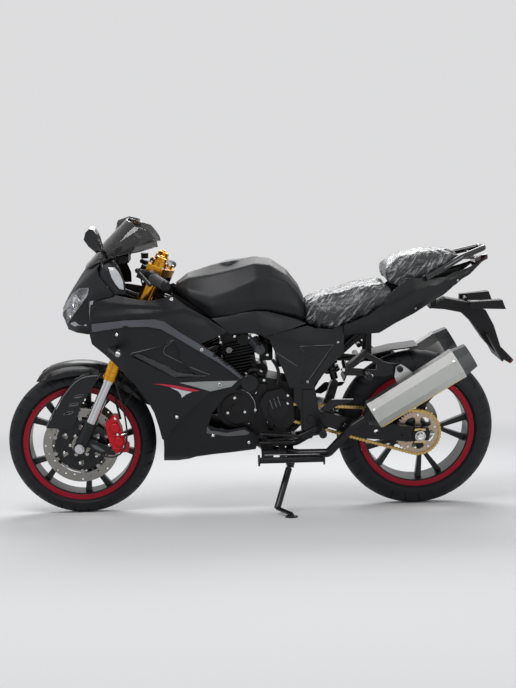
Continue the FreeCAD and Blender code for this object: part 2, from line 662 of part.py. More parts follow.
FLANK = [
    (54, [(60, 440), (96, 600), (140, 700), (158, 790), (152, 860), (146, 890), (134, 925)]),
    (200, [(150, 420), (196, 590), (212, 700), (220, 790), (208, 860), (194, 892), (170, 925)]),
    (350, [(180, 320), (202, 480), (218, 620), (228, 730), (222, 800), (200, 870), (168, 915)]),
    (500, [(186, 320), (204, 480), (216, 620), (224, 720), (210, 785), (184, 830), (150, 890)]),
    (660, [(178, 320), (194, 480), (206, 600), (208, 680), (198, 750), (176, 820), (146, 880)])]

BELLY = [
    (318, [(100, 226), (124, 250), (146, 330), (172, 440), (186, 560), (196, 660)]),
    (460, [(108, 226), (136, 256), (158, 340), (184, 450), (198, 560), (210, 660)]),
    (590, [(108, 236), (138, 266), (158, 350), (182, 450), (194, 560), (206, 660)]),
    (712, [(104, 250), (130, 280), (150, 360), (170, 450), (184, 560), (196, 660)])]

TANK = [
    (390, [(56, 890), (72, 900), (70, 910), (44, 918), (0, 922)]),
    (440, [(110, 862), (122, 882), (112, 908), (62, 946), (0, 962)]),
    (530, [(148, 800), (155, 846), (142, 882), (88, 958), (0, 990)]),
    (610, [(154, 806), (159, 852), (146, 906), (94, 976), (0, 1006)]),
    (700, [(138, 822), (146, 862), (136, 944), (88, 998), (0, 1020)]),
    (760, [(124, 818), (131, 862), (123, 950), (80, 990), (0, 1010)]),
    (822, [(108, 797), (115, 842), (104, 926), (68, 950), (0, 966)]),
    (868, [(95, 782), (100, 822), (88, 868), (58, 896), (0, 906)]),
    (890, [(84, 778), (86, 802), (76, 836), (48, 850), (0, 856)])]

fairing_side = [
    (72, 878), (168, 902), (245, 886), (301, 880), (349, 888), (375, 897), (438, 852), (502, 815), (575, 765),
    (583, 756), (557, 743), (526, 731), (484, 717), (542, 670), (606, 619), (653, 571), (641, 565), (623, 567.3),
    (600, 541.3), (521, 525.3), (512, 521.3), (449, 464.3), (381, 398.3), (353, 358.3), (326, 326), (325, 335),
    (313, 390), (298, 445), (273, 496), (231, 556), (173, 620), (118, 671), (68, 712), (62, 745), (66, 830)]
vent = [(216, 674), (282, 697), (343, 719), (383, 732), (404, 700), (411, 647), (474, 587), (417, 580), (382, 582),
        (300, 628)]
raised = [(76, 793), (200, 811), (312, 813), (351, 803), (414, 757), (478, 716), (542, 670), (606, 619), (640, 584),
          (631, 574), (584, 615), (541, 648), (477, 689), (413, 731), (337, 777), (285, 787), (199, 787), (76, 762)]


def grown(stations, t):
    return [(x, inset(line, -t)) for x, line in stations]


def side_fairing():
    shell = skin(FLANK, SKIN)
    panel = shell.common(plate(fairing_side, -260, -60)).cut(plate(vent, -300, -60))
    ridge = skin(grown(FLANK, 5.0), 5.4).common(plate(raised, -260, -60))
    floor = skin(shrunk(FLANK, 14.0, False), 3.0).common(plate(vent, -260, -60))
    wall = skin(shrunk(FLANK, 2.0, False), 13.0)
    rim_out = plate(vent, -260, -60).cut(plate([(x + (338 - x) * 0.03, z + (650 - z) * 0.05) for x, z in vent], -270, -50))
    return union([panel, ridge, floor, wall.common(rim_out)])


add("side_fairing_left", side_fairing().cut(bar_space()))
add("side_fairing_right", flip(PIECES["side_fairing_left"]))

belly_side = [
    (329, 327), (353, 358), (381, 398), (449, 464), (512, 521), (521, 525), (600, 541), (623, 567), (640, 564.7),
    (622, 534), (573, 503), (518, 432), (504, 383), (539, 370), (583, 362), (645, 370), (702, 322), (686, 273),
    (532, 261), (455, 252), (424, 240), (379, 231), (326, 237), (329, 289)]


def belly():
    shell = skin(BELLY, SKIN).common(plate(belly_side, -260, -60))
    inside = hull([(x, line) for x, line in BELLY])
    low = [(326, 232), (379, 231), (424, 239), (455, 251), (532, 261), (686, 273)]
    strip = plate(low + [(x, z + SKIN) for x, z in reversed(low)], -140, -SEAM / 2)
    return union([shell, strip.common(inside)])


add("belly_left", belly().cut(PIECES["exhaust_left"]))
add("belly_right", flip(PIECES["belly_left"]))

nose_side = [(-60, 730), (58.5, 730), (60.5, 745), (62, 830), (66, 878), (165, 902), (133, 940), (107, 971), (99, 999),
             (107, 1014), (90, 1007), (60, 993), (47.5, 994), (-60, 994)]
lamp = [(66, 929), (22, 921), (-6, 900), (-33, 862), (-60, 820), (-60, 785), (-26, 785), (7, 831), (60, 900)]
nose_shell = hull(NOSE).cut(hull(shrunk(NOSE, SKIN)))
nose_shell = nose_shell.cut(box(160, 180, -300, 300, 600, 1200))
lamp_zone = plate(lamp, -220, -24).fuse(plate(lamp, 24, 220))
small_lamp = plate([(x + (8 - x) * 0.012, z + (860 - z) * 0.012) for x, z in lamp], -220, -24.6)
nose_body = nose_shell.common(plate(nose_side, -220, 220)).cut(lamp_zone)
add("nose_fairing", nose_body)
lens_shell = hull(NOSE).cut(hull(shrunk(NOSE, 3.0)))
lens_left = lens_shell.common(small_lamp)
inner_nose = hull(shrunk(NOSE, SKIN + SEAM))
unit = inner_nose.common(plate([(-40, 775), (70, 775), (96, 905), (60, 940), (10, 925), (-40, 870)], -160, 160))
bowl = plate([(x + (8 - x) * 0.06, z + (860 - z) * 0.06) for x, z in lamp], -220, -30)
hollow = hull(shrunk(NOSE, SKIN)).common(bowl)
backing = hull(shrunk(NOSE, 42.0, False)).common(bowl)
unit = unit.cut(hollow.cut(backing)).cut(flip(hollow.cut(backing)))
add("headlamp_unit", unit.cut(PIECES["side_fairing_left"]).cut(PIECES["side_fairing_right"]))
add("headlamp_lens_left", lens_left)
add("headlamp_lens_right", flip(lens_left))

screen_side = [(40, 988), (48, 1004), (84, 1045), (117, 1088), (206, 1176), (246, 1156), (293, 1139), (330, 1090),
               (294, 1070), (239, 1057), (191, 1053), (157, 1040), (129, 1029), (90, 1004), (60, 988)]
screen_shell = hull(SCREEN).cut(hull(shrunk(SCREEN, 3.0)))
screen_shell = screen_shell.cut(box(330, 340, -300, 300, 900, 1300)).cut(box(40, 50.2, -300, 300, 900, 1300))
windscreen = screen_shell.common(plate(screen_side, -220, 220)).cut(PIECES["nose_fairing"])
add("windscreen", windscreen)

trim_side = [(137, 1036), (117, 1024), (100, 998), (108, 971), (134, 940), (162, 905), (206, 905), (206, 945),
             (186, 1000), (160, 1036)]
INNER = [(60, [(104, 885), (118, 900), (96, 960), (60, 990), (40, 1000)]),
         (110, [(150, 885), (160, 905), (136, 985), (116, 1020), (90, 1040)]),
         (220, [(172, 885), (180, 905), (168, 990), (140, 1045), (110, 1065)])]
trim = skin(INNER, 3.0).common(plate(trim_side, -260, -60)).cut(PIECES["nose_fairing"])
trim = trim.cut(PIECES["side_fairing_left"]).cut(PIECES["windscreen"])
add("cockpit_trim_left", trim)
add("cockpit_trim_right", flip(trim))

dash = hull([
    (128, [(118, 1006), (116, 1024), (60, 1040), (0, 1044)]),
    (166, [(116, 1010), (114, 1032), (66, 1048), (0, 1054)]),
    (178, [(76, 1010), (74, 1040), (52, 1052), (0, 1058)]),
    (214, [(72, 1010), (70, 1036), (50, 1046), (0, 1050)])])
stay_root = leg(TOP_CLAMP - 106.6, 0, 5.45)
stay_turn = leg(TOP_CLAMP - 121.8, 0, -27.2)
stay = [bent([stay_root, stay_turn, V(160, 0, 904), V(150, 0, 1016)], 10, 40)]
stay.append(rod(V(150, -104, 1008), V(150, 104, 1008), 8))
stay.append(rod(V(110, -175.5, 800), V(110, 175.5, 800), 8))
stay.append(plate([(103, 794), (118, 792), (164, 905), (146, 908)], -9, 9))
add("fairing_stay", union(stay).cut(PIECES["main_frame"]).cut(PIECES["side_fairing_left"]).cut(
    PIECES["side_fairing_right"]))
add("dash_panel", dash.cut(PIECES["fairing_stay"]).cut(PIECES["windscreen"]))
gauge = [plate([(186, 1052), (224, 1042), (262, 1102), (236, 1124), (196, 1104)], -76, 76)]
add("instruments", union(gauge).cut(PIECES["dash_panel"]))

tank = hull(TANK).cut(box(380, 744, -124, 124, 700, 822)).cut(box(743, 852, -98, 98, 700, 822))
tank = tank.cut(plate([(380, 826), (852, 826), (700, 846), (520, 838), (440, 890), (380, 900)], -70, 70))
filler = rod(V(603, 0, 985), V(600, 0, 1004), 36)
add("fuel_tank", tank.fuse(filler).removeSplitter().cut(PIECES["main_frame"]))

COVER = [
    (520, [(176, 700), (176, 760), (160, 796), (150, 812)]),
    (600, [(172, 700), (176, 750), (166, 800), (156, 816)]),
    (700, [(162, 700), (166, 760), (156, 812), (146, 830)]),
    (800, [(148, 700), (148, 750), (134, 790), (122, 806)]),
    (960, [(122, 690), (126, 740), (112, 780), (100, 800)]),
    (1060, [(120, 600), (126, 720), (118, 780), (104, 800)])]
mid_side = [(530, 801), (587, 808), (645, 819), (700, 823), (744, 819), (800, 801), (846, 787), (892, 768),
            (826, 748), (734, 728), (701, 737), (652, 744), (598, 743), (580, 757)]
mid = skin(COVER, SKIN).common(plate(mid_side, -260, -60)).cut(PIECES["fuel_tank"]).cut(PIECES["side_fairing_left"])
add("mid_cover_left", mid)
add("mid_cover_right", flip(mid))

PANEL = [
    (738, [(150, 500), (150, 600), (154, 700), (148, 770)]),
    (830, [(154, 500), (158, 600), (156, 700), (140, 770)]),
    (910, [(150, 500), (156, 600), (146, 700), (126, 775)]),
    (1040, [(126, 500), (130, 640), (124, 700), (116, 790)])]
side_cover = [(742, 727), (817, 744), (894, 760), (923, 749), (956, 745), (989, 742), (1035, 756.7), (1036, 650), (1001, 621),
              (954, 570), (907, 520), (823, 520), (796, 594), (764, 670)]
inner_v = [(866, 688), (994, 681), (990, 670), (905, 546), (858, 528), (873, 600), (878, 657)]
cover = skin(PANEL, SKIN).common(plate(side_cover, -260, -60)).cut(plate(inner_v, -300, -60))
deep = skin(shrunk(PANEL, 7.0, False), 3.0).common(plate(inner_v, -260, -60))
edge = plate(inner_v, -260, -60).cut(plate([(x + (915 - x) * 0.05, z + (640 - z) * 0.05) for x, z in inner_v], -270, -50))
cover = union([cover, deep, skin(shrunk(PANEL, 1.0, False), 8.6).common(edge)])
cover = cover.cut(PIECES["mid_cover_left"]).cut(PIECES["main_frame"]).cut(PIECES["subframe"])
add("side_cover_left", cover)
add("side_cover_right", flip(cover))

TAIL = [
    (872, [(104, 670), (118, 700), (116, 770), (100, 800), (0, 800)]),
    (960, [(112, 700), (126, 730), (124, 770), (106, 800), (0, 800)]),
    (1060, [(118, 705), (134, 745), (132, 790), (112, 830), (0, 830)]),
    (1190, [(112, 716), (132, 770), (134, 830), (112, 880), (0, 880)]),
    (1300, [(98, 768), (122, 830), (126, 890), (104, 940), (0, 940)]),
    (1420, [(74, 836), (100, 870), (106, 910), (90, 946), (0, 950)]),
    (1530, [(48, 916), (72, 926), (78, 946), (60, 975), (0, 985)]),
    (1606, [(20, 986), (36, 988), (38, 994), (28, 1000), (0, 1004)])]
tail_side = [
    (1036.4, 757), (1054, 763), (1130, 794), (1195, 841), (1228, 884), (1271, 921), (1292, 931),
    (1369, 930), (1429, 929), (1467, 943), (1527, 961), (1598, 989), (1590, 984), (1535, 936), (1503, 920),
    (1433, 862), (1369, 826), (1315, 794), (1239, 758), (1174, 721), (1036.4, 716)]
tail_shell = hull(TAIL).cut(hull(shrunk(TAIL, SKIN)))
tail_body = tail_shell.common(plate(tail_side, -200, 200)).cut(PIECES["subframe"])
add("tail_fairing", tail_body)

seat_side = [(858, 812), (866, 833), (889, 844), (959, 859), (1035, 871), (1089, 891), (1137, 898), (1180, 900),
             (1206, 909), (1229, 884.6), (1195.2, 841.4), (1130, 794.4), (1054, 763.4), (1036, 757.4), (989, 743), (962, 746),
             (924, 751), (896, 764), (884, 778)]
SEAT = [
    (858, [(54, 740), (66, 790), (62, 818), (44, 830), (0, 834)]),
    (930, [(104, 720), (116, 780), (106, 840), (70, 862), (0, 866)]),
    (1000, [(118, 730), (140, 790), (130, 850), (90, 878), (0, 882)]),
    (1100, [(118, 760), (146, 820), (136, 880), (96, 902), (0, 906)]),
    (1180, [(112, 800), (138, 860), (130, 894), (92, 910), (0, 914)]),
    (1226, [(104, 850), (122, 880), (110, 905), (80, 922), (0, 925)])]
seat_front = hull(SEAT).common(plate(seat_side, -200, 200))
seat_front = seat_front.cut(PIECES["tail_fairing"]).cut(PIECES["subframe"]).cut(PIECES["side_cover_left"])
seat_front = seat_front.cut(PIECES["side_cover_right"])
seat_front = seat_front.cut(PIECES["fuel_tank"])
add("seat_front", seat_front)

rear_side = [(1207, 917), (1201, 960), (1212, 982), (1255, 1005), (1320, 1020), (1407, 1023), (1480, 1021),
             (1500, 1012), (1468, 988), (1424, 957), (1392, 930.3), (1369, 930.3), (1292, 931.3), (1270.8, 921.3),
             (1248, 902)]
PILLION = [
    (1200, [(96, 900), (108, 930), (100, 958), (60, 972), (0, 976)]),
    (1260, [(104, 905), (122, 940), (108, 985), (66, 1008), (0, 1014)]),
    (1360, [(100, 925), (116, 960), (104, 1000), (62, 1022), (0, 1028)]),
    (1440, [(88, 940), (100, 975), (88, 1006), (54, 1022), (0, 1027)]),
    (1502, [(60, 985), (70, 1000), (60, 1010), (36, 1015), (0, 1016)])]
seat_rear = hull(PILLION).common(plate(rear_side, -200, 200)).cut(PIECES["seat_front"])
seat_rear = seat_rear.cut(PIECES["tail_fairing"])
add("seat_rear", seat_rear)

rail_line = [V(1356, -116, 932), V(1424, -107, 966), V(1500, -86, 1006), V(1596, -34, 1034), V(1596, 34, 1034),
             V(1500, 86, 1006), V(1424, 107, 966), V(1356, 116, 932)]
grab = [bent(rail_line, 11, 22)]
grab.append(box(1470, 1560, -30, 30, 990, 1000))
grab.append(rod(V(1545, -60, 1012), V(1545, 60, 1012), 8))
grab.append(rod(V(1545, 0, 1012), V(1530, 0, 994), 9))
add("grab_rail", union(grab).cut(PIECES["tail_fairing"]).cut(PIECES["seat_rear"]).cut(PIECES["seat_front"]))

lamp_shape = hull([(1500, [(20, 930), (60, 940), (62, 962), (30, 978), (0, 980)]),
                   (1612, [(16, 986), (30, 990), (34, 998), (26, 1006), (0, 1008)])])
add("tail_lamp", lamp_shape.common(box(1560, 1612, -90, 90, 900, 1100)).cut(PIECES["tail_fairing"]).cut(
    PIECES["grab_rail"]))

HANGER_ROOT = 1384.0
HANGER_TIP = WHEELBASE + 390.0


def hang(points):
    """Side outline of the plate hanger, its x drawn out from the root to the tip behind the wheel."""
    reach = (HANGER_TIP - HANGER_ROOT) / 336
    return [(HANGER_ROOT + (x - HANGER_ROOT) * reach, z) for x, z in points]


arm = [(1384, 800), (1448, 838), (1532, 820), (1556, 808), (1608, 786), (1640, 726), (1668, 640), (1716, 590),
       (1708, 570), (1664, 596), (1604, 664), (1552, 740), (1510, 780), (1444, 794)]
under = [(1400, 770), (1506, 768), (1546, 726), (1598, 652), (1656, 586), (1720, 540)]
hanger = plate(hang(arm), -34, 34).cut(plate(hang(under), -28, 28))
board = plate(hang([(1600, 700), (1606, 702), (1668, 596), (1662, 590)]), -95, 95)
root = plate([(1388, 796), (1412, 810), (1412, 896), (1392, 896)], -28, 28)
spine = plate(hang([(1612, 690), (1640, 700), (1664, 640), (1650, 618)]), -34, 34)
hanger = union([hanger, board, root, spine])
HOLE_AXIS = V(0.862, 0, 0.507)
for y in (-50, 50):
    c = V(hang([(1630, 650)])[0][0], y, 650)
    hanger = hanger.cut(rod(c - HOLE_AXIS * 30, c + HOLE_AXIS * 40, 3.2))
add("plate_hanger", hanger.cut(PIECES["tail_fairing"]).cut(PIECES["subframe"]))
(tip_x, tip_z), (low_x, low_z) = hang([(1716, 590), (1708, 570)])
add("reflector", plate([(tip_x + 0.2, tip_z), (tip_x + 8, tip_z - 7), (low_x + 8, low_z + 1), (low_x + 0.2, low_z - 0.2)],
                       -26, 26))


def rear_signal():
    x = hang([(1540, 821)])[0][0]
    stalk = rod(V(x, -30, 821), V(x + 8, -108, 822), 8)
    head = sections([[V(x - 12, -96, 834), V(x - 12, -96, 808), V(x - 12, -118, 808), V(x - 12, -118, 834)],
                     [V(x + 108, -100, 842), V(x + 122, -100, 806), V(x + 122, -140, 806), V(x + 108, -140, 842)]])
    return union([stalk, head])


signal = rear_signal().cut(PIECES["plate_hanger"])
add("signal_rear_left", signal)
add("signal_rear_right", flip(signal))
front_signal = [rod(V(158, -196, 704), V(158, -236, 700), 9),
                rod(V(150, -230, 702), V(176, -290, 698), 16)]
front_signal = union(front_signal).cut(PIECES["side_fairing_left"])
add("signal_front_left", front_signal)
add("signal_front_right", flip(front_signal))

MIRROR = [(-1.0, 0.06), (-0.72, 0.72), (-0.18, 1.0), (0.36, 0.94), (0.74, 0.5), (0.9, -0.1), (1.0, -0.86), (0.36, -1.0),
          (-0.4, -0.55)]


def mirror_at(y, size, x, z):
    return [V(x + a * 33 * size, y, z + b * 50 * size) for a, b in MIRROR]


pod = sections([mirror_at(-214, 0.42, 122, 1090), mirror_at(-240, 0.84, 108, 1116), mirror_at(-290, 1.0, 103, 1124),
                mirror_at(-330, 0.8, 101, 1126)])
stalk = rod(V(136, -128, 1042), V(128, -218, 1080), 9)
foot = plate([(112, 1024), (160, 1044), (152, 1056), (108, 1038)], -134, -122)
mirror_left = union([pod, stalk, foot]).cut(PIECES["windscreen"]).cut(PIECES["nose_fairing"]).cut(
    PIECES["cockpit_trim_left"]).cut(PIECES["dash_panel"])
add("mirror_left", mirror_left)
folded = pod.copy()
folded.translate(V(-128, 218, -1080))
folded.rotate(V(0, 0, 0), V(0, 0, 1), 74)
folded.translate(V(146, 204, 1078))
right_parts = [folded, flip(stalk), flip(foot), rod(V(128, 218, 1080), V(150, 208, 1086), 9)]
right = union(right_parts).cut(PIECES["windscreen"]).cut(PIECES["nose_fairing"]).cut(
    PIECES["cockpit_trim_right"]).cut(PIECES["dash_panel"])
add("mirror_right", right)


# Foot rests, stand and small pieces


def rider_peg():
    hanger = plate([(872, 512), (912, 512), (930, 440), (956, 392), (954, 352), (900, 340), (872, 352)], -160, -150.3)
    hanger = hanger.cut(disc(PIVOT.x, PIVOT.z, -170, -140, 17.5))
    peg = [rod(V(936, -152, 370), V(936, -318, 374), 11), rod(V(936, -196, 371), V(936, -316, 374), 15)]
    return union([hanger] + peg)


left_peg = rider_peg()
shift = [rod(V(936, -160.3, 368), V(936, -176, 368), 15), bent([V(930, -168, 368), V(856, -164, 330),
                                                            V(712, -176, 345), V(700, -180, 350)], 6, 30)]
shift.append(rod(V(706, -176, 348), V(706, -222, 350), 8))
shift.append(rod(V(760, -172, 341), V(760, -128, 372), 5))
shift.append(rod(V(760, -129, 372), V(760, -122.3, 372), 9))
add("rider_peg_left", left_peg.cut(PIECES["main_frame"]))
add("gear_lever", union(shift).cut(left_peg).cut(PIECES["sprocket_cover"]).cut(PIECES["exhaust_left"]))
right_peg = flip(left_peg)
pedal = [rod(V(936, 160.3, 368), V(936, 176, 368), 15),
         bent([V(930, 168, 368), V(856, 172, 322), V(724, 182, 330), V(706, 182, 340)], 6.5, 30)]
pedal.append(box(692, 728, 176, 214, 338, 348))
add("rider_peg_right", right_peg.cut(PIECES["main_frame"]))
add("brake_pedal", union(pedal).cut(right_peg).cut(PIECES["exhaust_right"]))


def pillion_peg():
    arms = plate([(1020, 588), (1048, 600), (1112, 658), (1192, 612), (1256, 600), (1258, 572), (1190, 556),
                  (1036, 564)], -152, -142)
    arms = arms.cut(plate([(1062, 592), (1112, 636), (1160, 602), (1158, 582)], -160, -130))
    post = [rod(V(1120, -146, 570), V(1120, -250, 574), 10), rod(V(1120, -170, 571), V(1120, -248, 574), 13)]
    post.append(rod(V(1116, -64, 640), V(1116, -148, 640), 9))
    post.append(rod(V(1040, -66, 600), V(1040, -148, 585), 9))
    return union([arms] + post).cut(PIECES["subframe"]).cut(PIECES["muffler_left"])


add("pillion_peg_left", pillion_peg())
add("pillion_peg_right", flip(PIECES["pillion_peg_left"]))

LOW_BAR = V(700, -212, 250)
low_bar = [rod(LOW_BAR, LOW_BAR + V(244, 0, 0), 12), rod(LOW_BAR - V(8, 0, 0), LOW_BAR, 22),
           rod(LOW_BAR + V(244, 0, 0), LOW_BAR + V(250, 0, 0), 22)]
for x0, x1 in ((706, 752), (776, 800)):
    low_bar.append(box(x0, x1, -218, -110, 277.5, 290))
    low_bar.append(box(x0, x1, -218, -206, 250, 290))
low_bar = union(low_bar).cut(PIECES["main_frame"]).cut(PIECES["exhaust_left"]).cut(PIECES["belly_left"])


# Side stand, down on the ground of the leaned machine

STAND_PIN = V(822, -120, 210)
GROUND_TILT = math.tan(math.radians(LEAN))


def ground_z(y):
    """Height of the ground under a point of the upright machine."""
    return -y * GROUND_TILT - LIFT / math.cos(math.radians(LEAN))


stand_end = V(762, -246, ground_z(-246) + 26)
pad_at = V(812, -326, ground_z(-326))
up_g = V(0, math.sin(math.radians(LEAN)), math.cos(math.radians(LEAN)))
pad = Part.makeCylinder(24, 7, pad_at, up_g)
swivel = (stand_end - STAND_PIN).normalize()
down = [rod(STAND_PIN + swivel * 8, STAND_PIN + swivel * 30, 6.9), rod(STAND_PIN + swivel * 24, stand_end, 13)]
down = down + [rod(stand_end, pad_at + up_g * 12, 8), pad, rod(pad_at + up_g * 6, pad_at + up_g * 13, 10)]
side = V(1, 0, 0)
PIN_AXIS = swivel.cross(side).normalize()
eye = Part.makeCylinder(17, 14, STAND_PIN - PIN_AXIS * 7, PIN_AXIS)
stand = union([eye] + down).cut(Part.makeCylinder(7.3, 60, STAND_PIN - PIN_AXIS * 30, PIN_AXIS))
add("side_stand", stand)
pin = Part.makeCylinder(7, 36, STAND_PIN - PIN_AXIS * 18, PIN_AXIS)
lift_line = PIN_AXIS.cross(side) * -1
if lift_line.z < 0:
    lift_line = lift_line * -1


def lug(a0, a1, u0, u1, half):
    """Flat lug beside the stand, from a0 to a1 along the pin and u0 to u1 up from it."""
    rows = []
    for u in (u0, u1):
        row = []
        for x, a in ((-half, a0), (half, a0), (half, a1), (-half, a1)):
            row.append(STAND_PIN + side * x + PIN_AXIS * a + lift_line * u)
        rows.append(row)
    return sections(rows)


holder = [pin, lug(7.4, 12.4, -14, 50, 14), lug(-12.4, -7.4, -14, 50, 14), lug(-12.4, 26, 44, 80, 14)]
add("low_bar", low_bar)
carried = union([PIECES["main_frame"]] + holder)
PIECES["main_frame"] = carried.cut(PIECES["exhaust_left"]).cut(PIECES["exhaust_right"])

hose = [V(160, -84, 398), leg(230, -84, 50), leg(LOW_CLAMP - 70, -84, 47), leg(LOW_CLAMP - 16, -74, 46)]
add("brake_hose", bent(hose, 4.5, 40).cut(PIECES["caliper"]).cut(PIECES["triple_clamps"]))

duct = [(1044, 520), (1060, 560), (1140, 618), (1240, 640), (1340, 652), (1336, 656.5), (1236, 645), (1136, 623),
        (1056, 564), (1040, 522)]
duct_tabs = both(plate([(1128, 612), (1150, 624), (1152, 758), (1134, 746)], -66, -58))
add("rear_mudguard", union([plate(duct, -62, 62)] + duct_tabs).cut(PIECES["subframe"]).cut(PIECES["rear_shock"]))


# Every piece is leaned onto its stand and put down with the middle of its base at the origin

TURN = FreeCAD.Placement(V(0, 0, LIFT), FreeCAD.Rotation(V(1, 0, 0), LEAN))
PARKED = {}
whole = FreeCAD.BoundBox()
for node, shape in PIECES.items():
    parked = shape.copy()
    parked.Placement = TURN.multiply(parked.Placement)
    PARKED[node] = parked
    if node in ("front_tyre", "reflector", "mirror_left", "rider_peg_right", "side_stand"):
        whole.add(parked.optimalBoundingBox(False, False))
CENTRE = V(whole.Center.x, whole.Center.y, 0)
for parked in PARKED.values():
    parked.translate(CENTRE * -1)

# Like pieces on one body share a node
SHARED = {
    "front_discs": ("front_disc_left", "front_disc_right"),
    "fork_legs": ("fork_left", "fork_right"),
    "handlebars": ("handlebar_left", "handlebar_right"),
    "engine_covers": ("engine_cover_left", "engine_cover_right"),
    "exhaust_pipes": ("exhaust_left", "exhaust_right"),
    "mufflers": ("muffler_left", "muffler_right"),
    "side_fairings": ("side_fairing_left", "side_fairing_right"),
    "belly_fairing": ("belly_left", "belly_right"),
    "headlamp_lenses": ("headlamp_lens_left", "headlamp_lens_right"),
    "cockpit_trims": ("cockpit_trim_left", "cockpit_trim_right"),
    "mid_covers": ("mid_cover_left", "mid_cover_right"),
    "side_covers": ("side_cover_left", "side_cover_right"),
    "mirrors": ("mirror_left", "mirror_right"),
    "rear_signals": ("signal_rear_left", "signal_rear_right"),
    "front_signals": ("signal_front_left", "signal_front_right"),
    "rider_pegs": ("rider_peg_left", "rider_peg_right"),
    "foot_levers": ("gear_lever", "brake_pedal"),
    "pillion_pegs": ("pillion_peg_left", "pillion_peg_right")}
shared = []
for names in SHARED.values():
    shared.extend(names)
for node, parked in PARKED.items():
    if len(parked.Solids) != 1:
        raise ValueError(node + " has " + str(len(parked.Solids)) + " solids")
    if node not in shared:
        parked.Solids[0].exportStep("parts/" + node + ".step")
for node, names in SHARED.items():
    Part.makeCompound([PARKED[name].Solids[0] for name in names]).exportStep("parts/" + node + ".step")
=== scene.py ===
import json
import math

import bmesh
import bpy
from mathutils import Matrix, Vector, noise
from mathutils.bvhtree import BVHTree

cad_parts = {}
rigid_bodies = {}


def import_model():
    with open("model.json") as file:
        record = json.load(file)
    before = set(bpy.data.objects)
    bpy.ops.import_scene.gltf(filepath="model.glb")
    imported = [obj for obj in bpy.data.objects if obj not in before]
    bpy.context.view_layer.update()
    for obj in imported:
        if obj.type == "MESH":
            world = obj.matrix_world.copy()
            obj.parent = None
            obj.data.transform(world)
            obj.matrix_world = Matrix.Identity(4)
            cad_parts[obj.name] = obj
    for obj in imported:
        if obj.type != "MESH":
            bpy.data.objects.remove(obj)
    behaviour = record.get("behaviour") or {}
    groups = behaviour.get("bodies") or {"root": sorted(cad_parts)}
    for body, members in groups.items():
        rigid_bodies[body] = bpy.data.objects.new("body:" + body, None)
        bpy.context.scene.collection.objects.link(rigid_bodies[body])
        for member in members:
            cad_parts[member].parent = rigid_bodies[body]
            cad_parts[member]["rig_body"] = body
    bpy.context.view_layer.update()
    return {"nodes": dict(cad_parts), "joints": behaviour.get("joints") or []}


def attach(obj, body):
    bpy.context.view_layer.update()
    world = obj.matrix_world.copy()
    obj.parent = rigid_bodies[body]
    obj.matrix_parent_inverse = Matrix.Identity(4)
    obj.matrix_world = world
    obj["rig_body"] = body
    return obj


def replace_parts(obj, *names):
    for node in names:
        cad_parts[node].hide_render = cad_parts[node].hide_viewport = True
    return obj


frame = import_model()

# Places are in the upright bike's own millimetres: +X to the rear, +Y to the rider's right, +Z up,
# x = 0 at the front axle, z = 0 on the ground. TO_ROW leans the bike and takes them to the frame.
LEAN = math.radians(10)
FRONT_AXLE = Vector((0, 0, 0.293))
JOINTS = {joint["name"]: joint for joint in frame["joints"]}
SHIFT = Vector(JOINTS["front_wheel_spin"]["pos_m"]) - Matrix.Rotation(LEAN, 3, "X") @ FRONT_AXLE
TO_ROW = Matrix.Translation(SHIFT) @ Matrix.Rotation(LEAN, 4, "X") @ Matrix.Scale(0.001, 4)
TO_BIKE = TO_ROW.inverted()

WHEELBASE = 1330
FRONT_R = 293
REAR_R = 314
REAR_Z = 314.2
RAKE = math.radians(25)
SIDES = ((-1, "left"), (1, "right"))


# Shader helpers
def set_inputs(node, **values):
    """Sets the node's input sockets, with _ for each space in their names."""
    for socket, value in values.items():
        node.inputs[socket.replace("_", " ")].default_value = value


def add_node(tree, kind, **values):
    """A new shader node with its inputs set."""
    node = tree.nodes.new("ShaderNode" + kind)
    set_inputs(node, **values)
    return node


def material(name, colour, rough=0.4, metal=0.0, vary=0.15, scale=60.0, bump=0.0, bump_scale=900.0, **extra):
    """A painted, moulded or metal finish whose tone and gloss drift a little, with a fine grain."""
    m = bpy.data.materials.new(name)
    m.use_nodes = True
    tree = m.node_tree
    link = tree.links.new
    shader = tree.nodes["Principled BSDF"]
    set_inputs(shader, Metallic=metal, **extra)
    place = add_node(tree, "TexCoord").outputs["Object"]
    drift = add_node(tree, "TexNoise", Scale=scale, Detail=6)
    link(place, drift.inputs["Vector"])
    tone = add_node(tree, "Mix")
    tone.data_type = "RGBA"
    set_inputs(tone, A=(*[c * (1 - vary) for c in colour], 1), B=(*[min(1.0, c * (1 + vary)) for c in colour], 1))
    link(drift.outputs["Fac"], tone.inputs["Factor"])
    link(tone.outputs["Result"], shader.inputs["Base Color"])
    gloss = add_node(tree, "MapRange", To_Min=max(0.02, rough * (1 - vary)), To_Max=min(1.0, rough * (1 + vary)))
    link(drift.outputs["Fac"], gloss.inputs["Value"])
    link(gloss.outputs["Result"], shader.inputs["Roughness"])
    if bump:
        grain = add_node(tree, "TexNoise", Scale=bump_scale, Detail=3)
        link(place, grain.inputs["Vector"])
        relief = add_node(tree, "Bump", Strength=bump, Distance=0.001)
        link(grain.outputs["Fac"], relief.inputs["Height"])
        link(relief.outputs["Normal"], shader.inputs["Normal"])
    return m


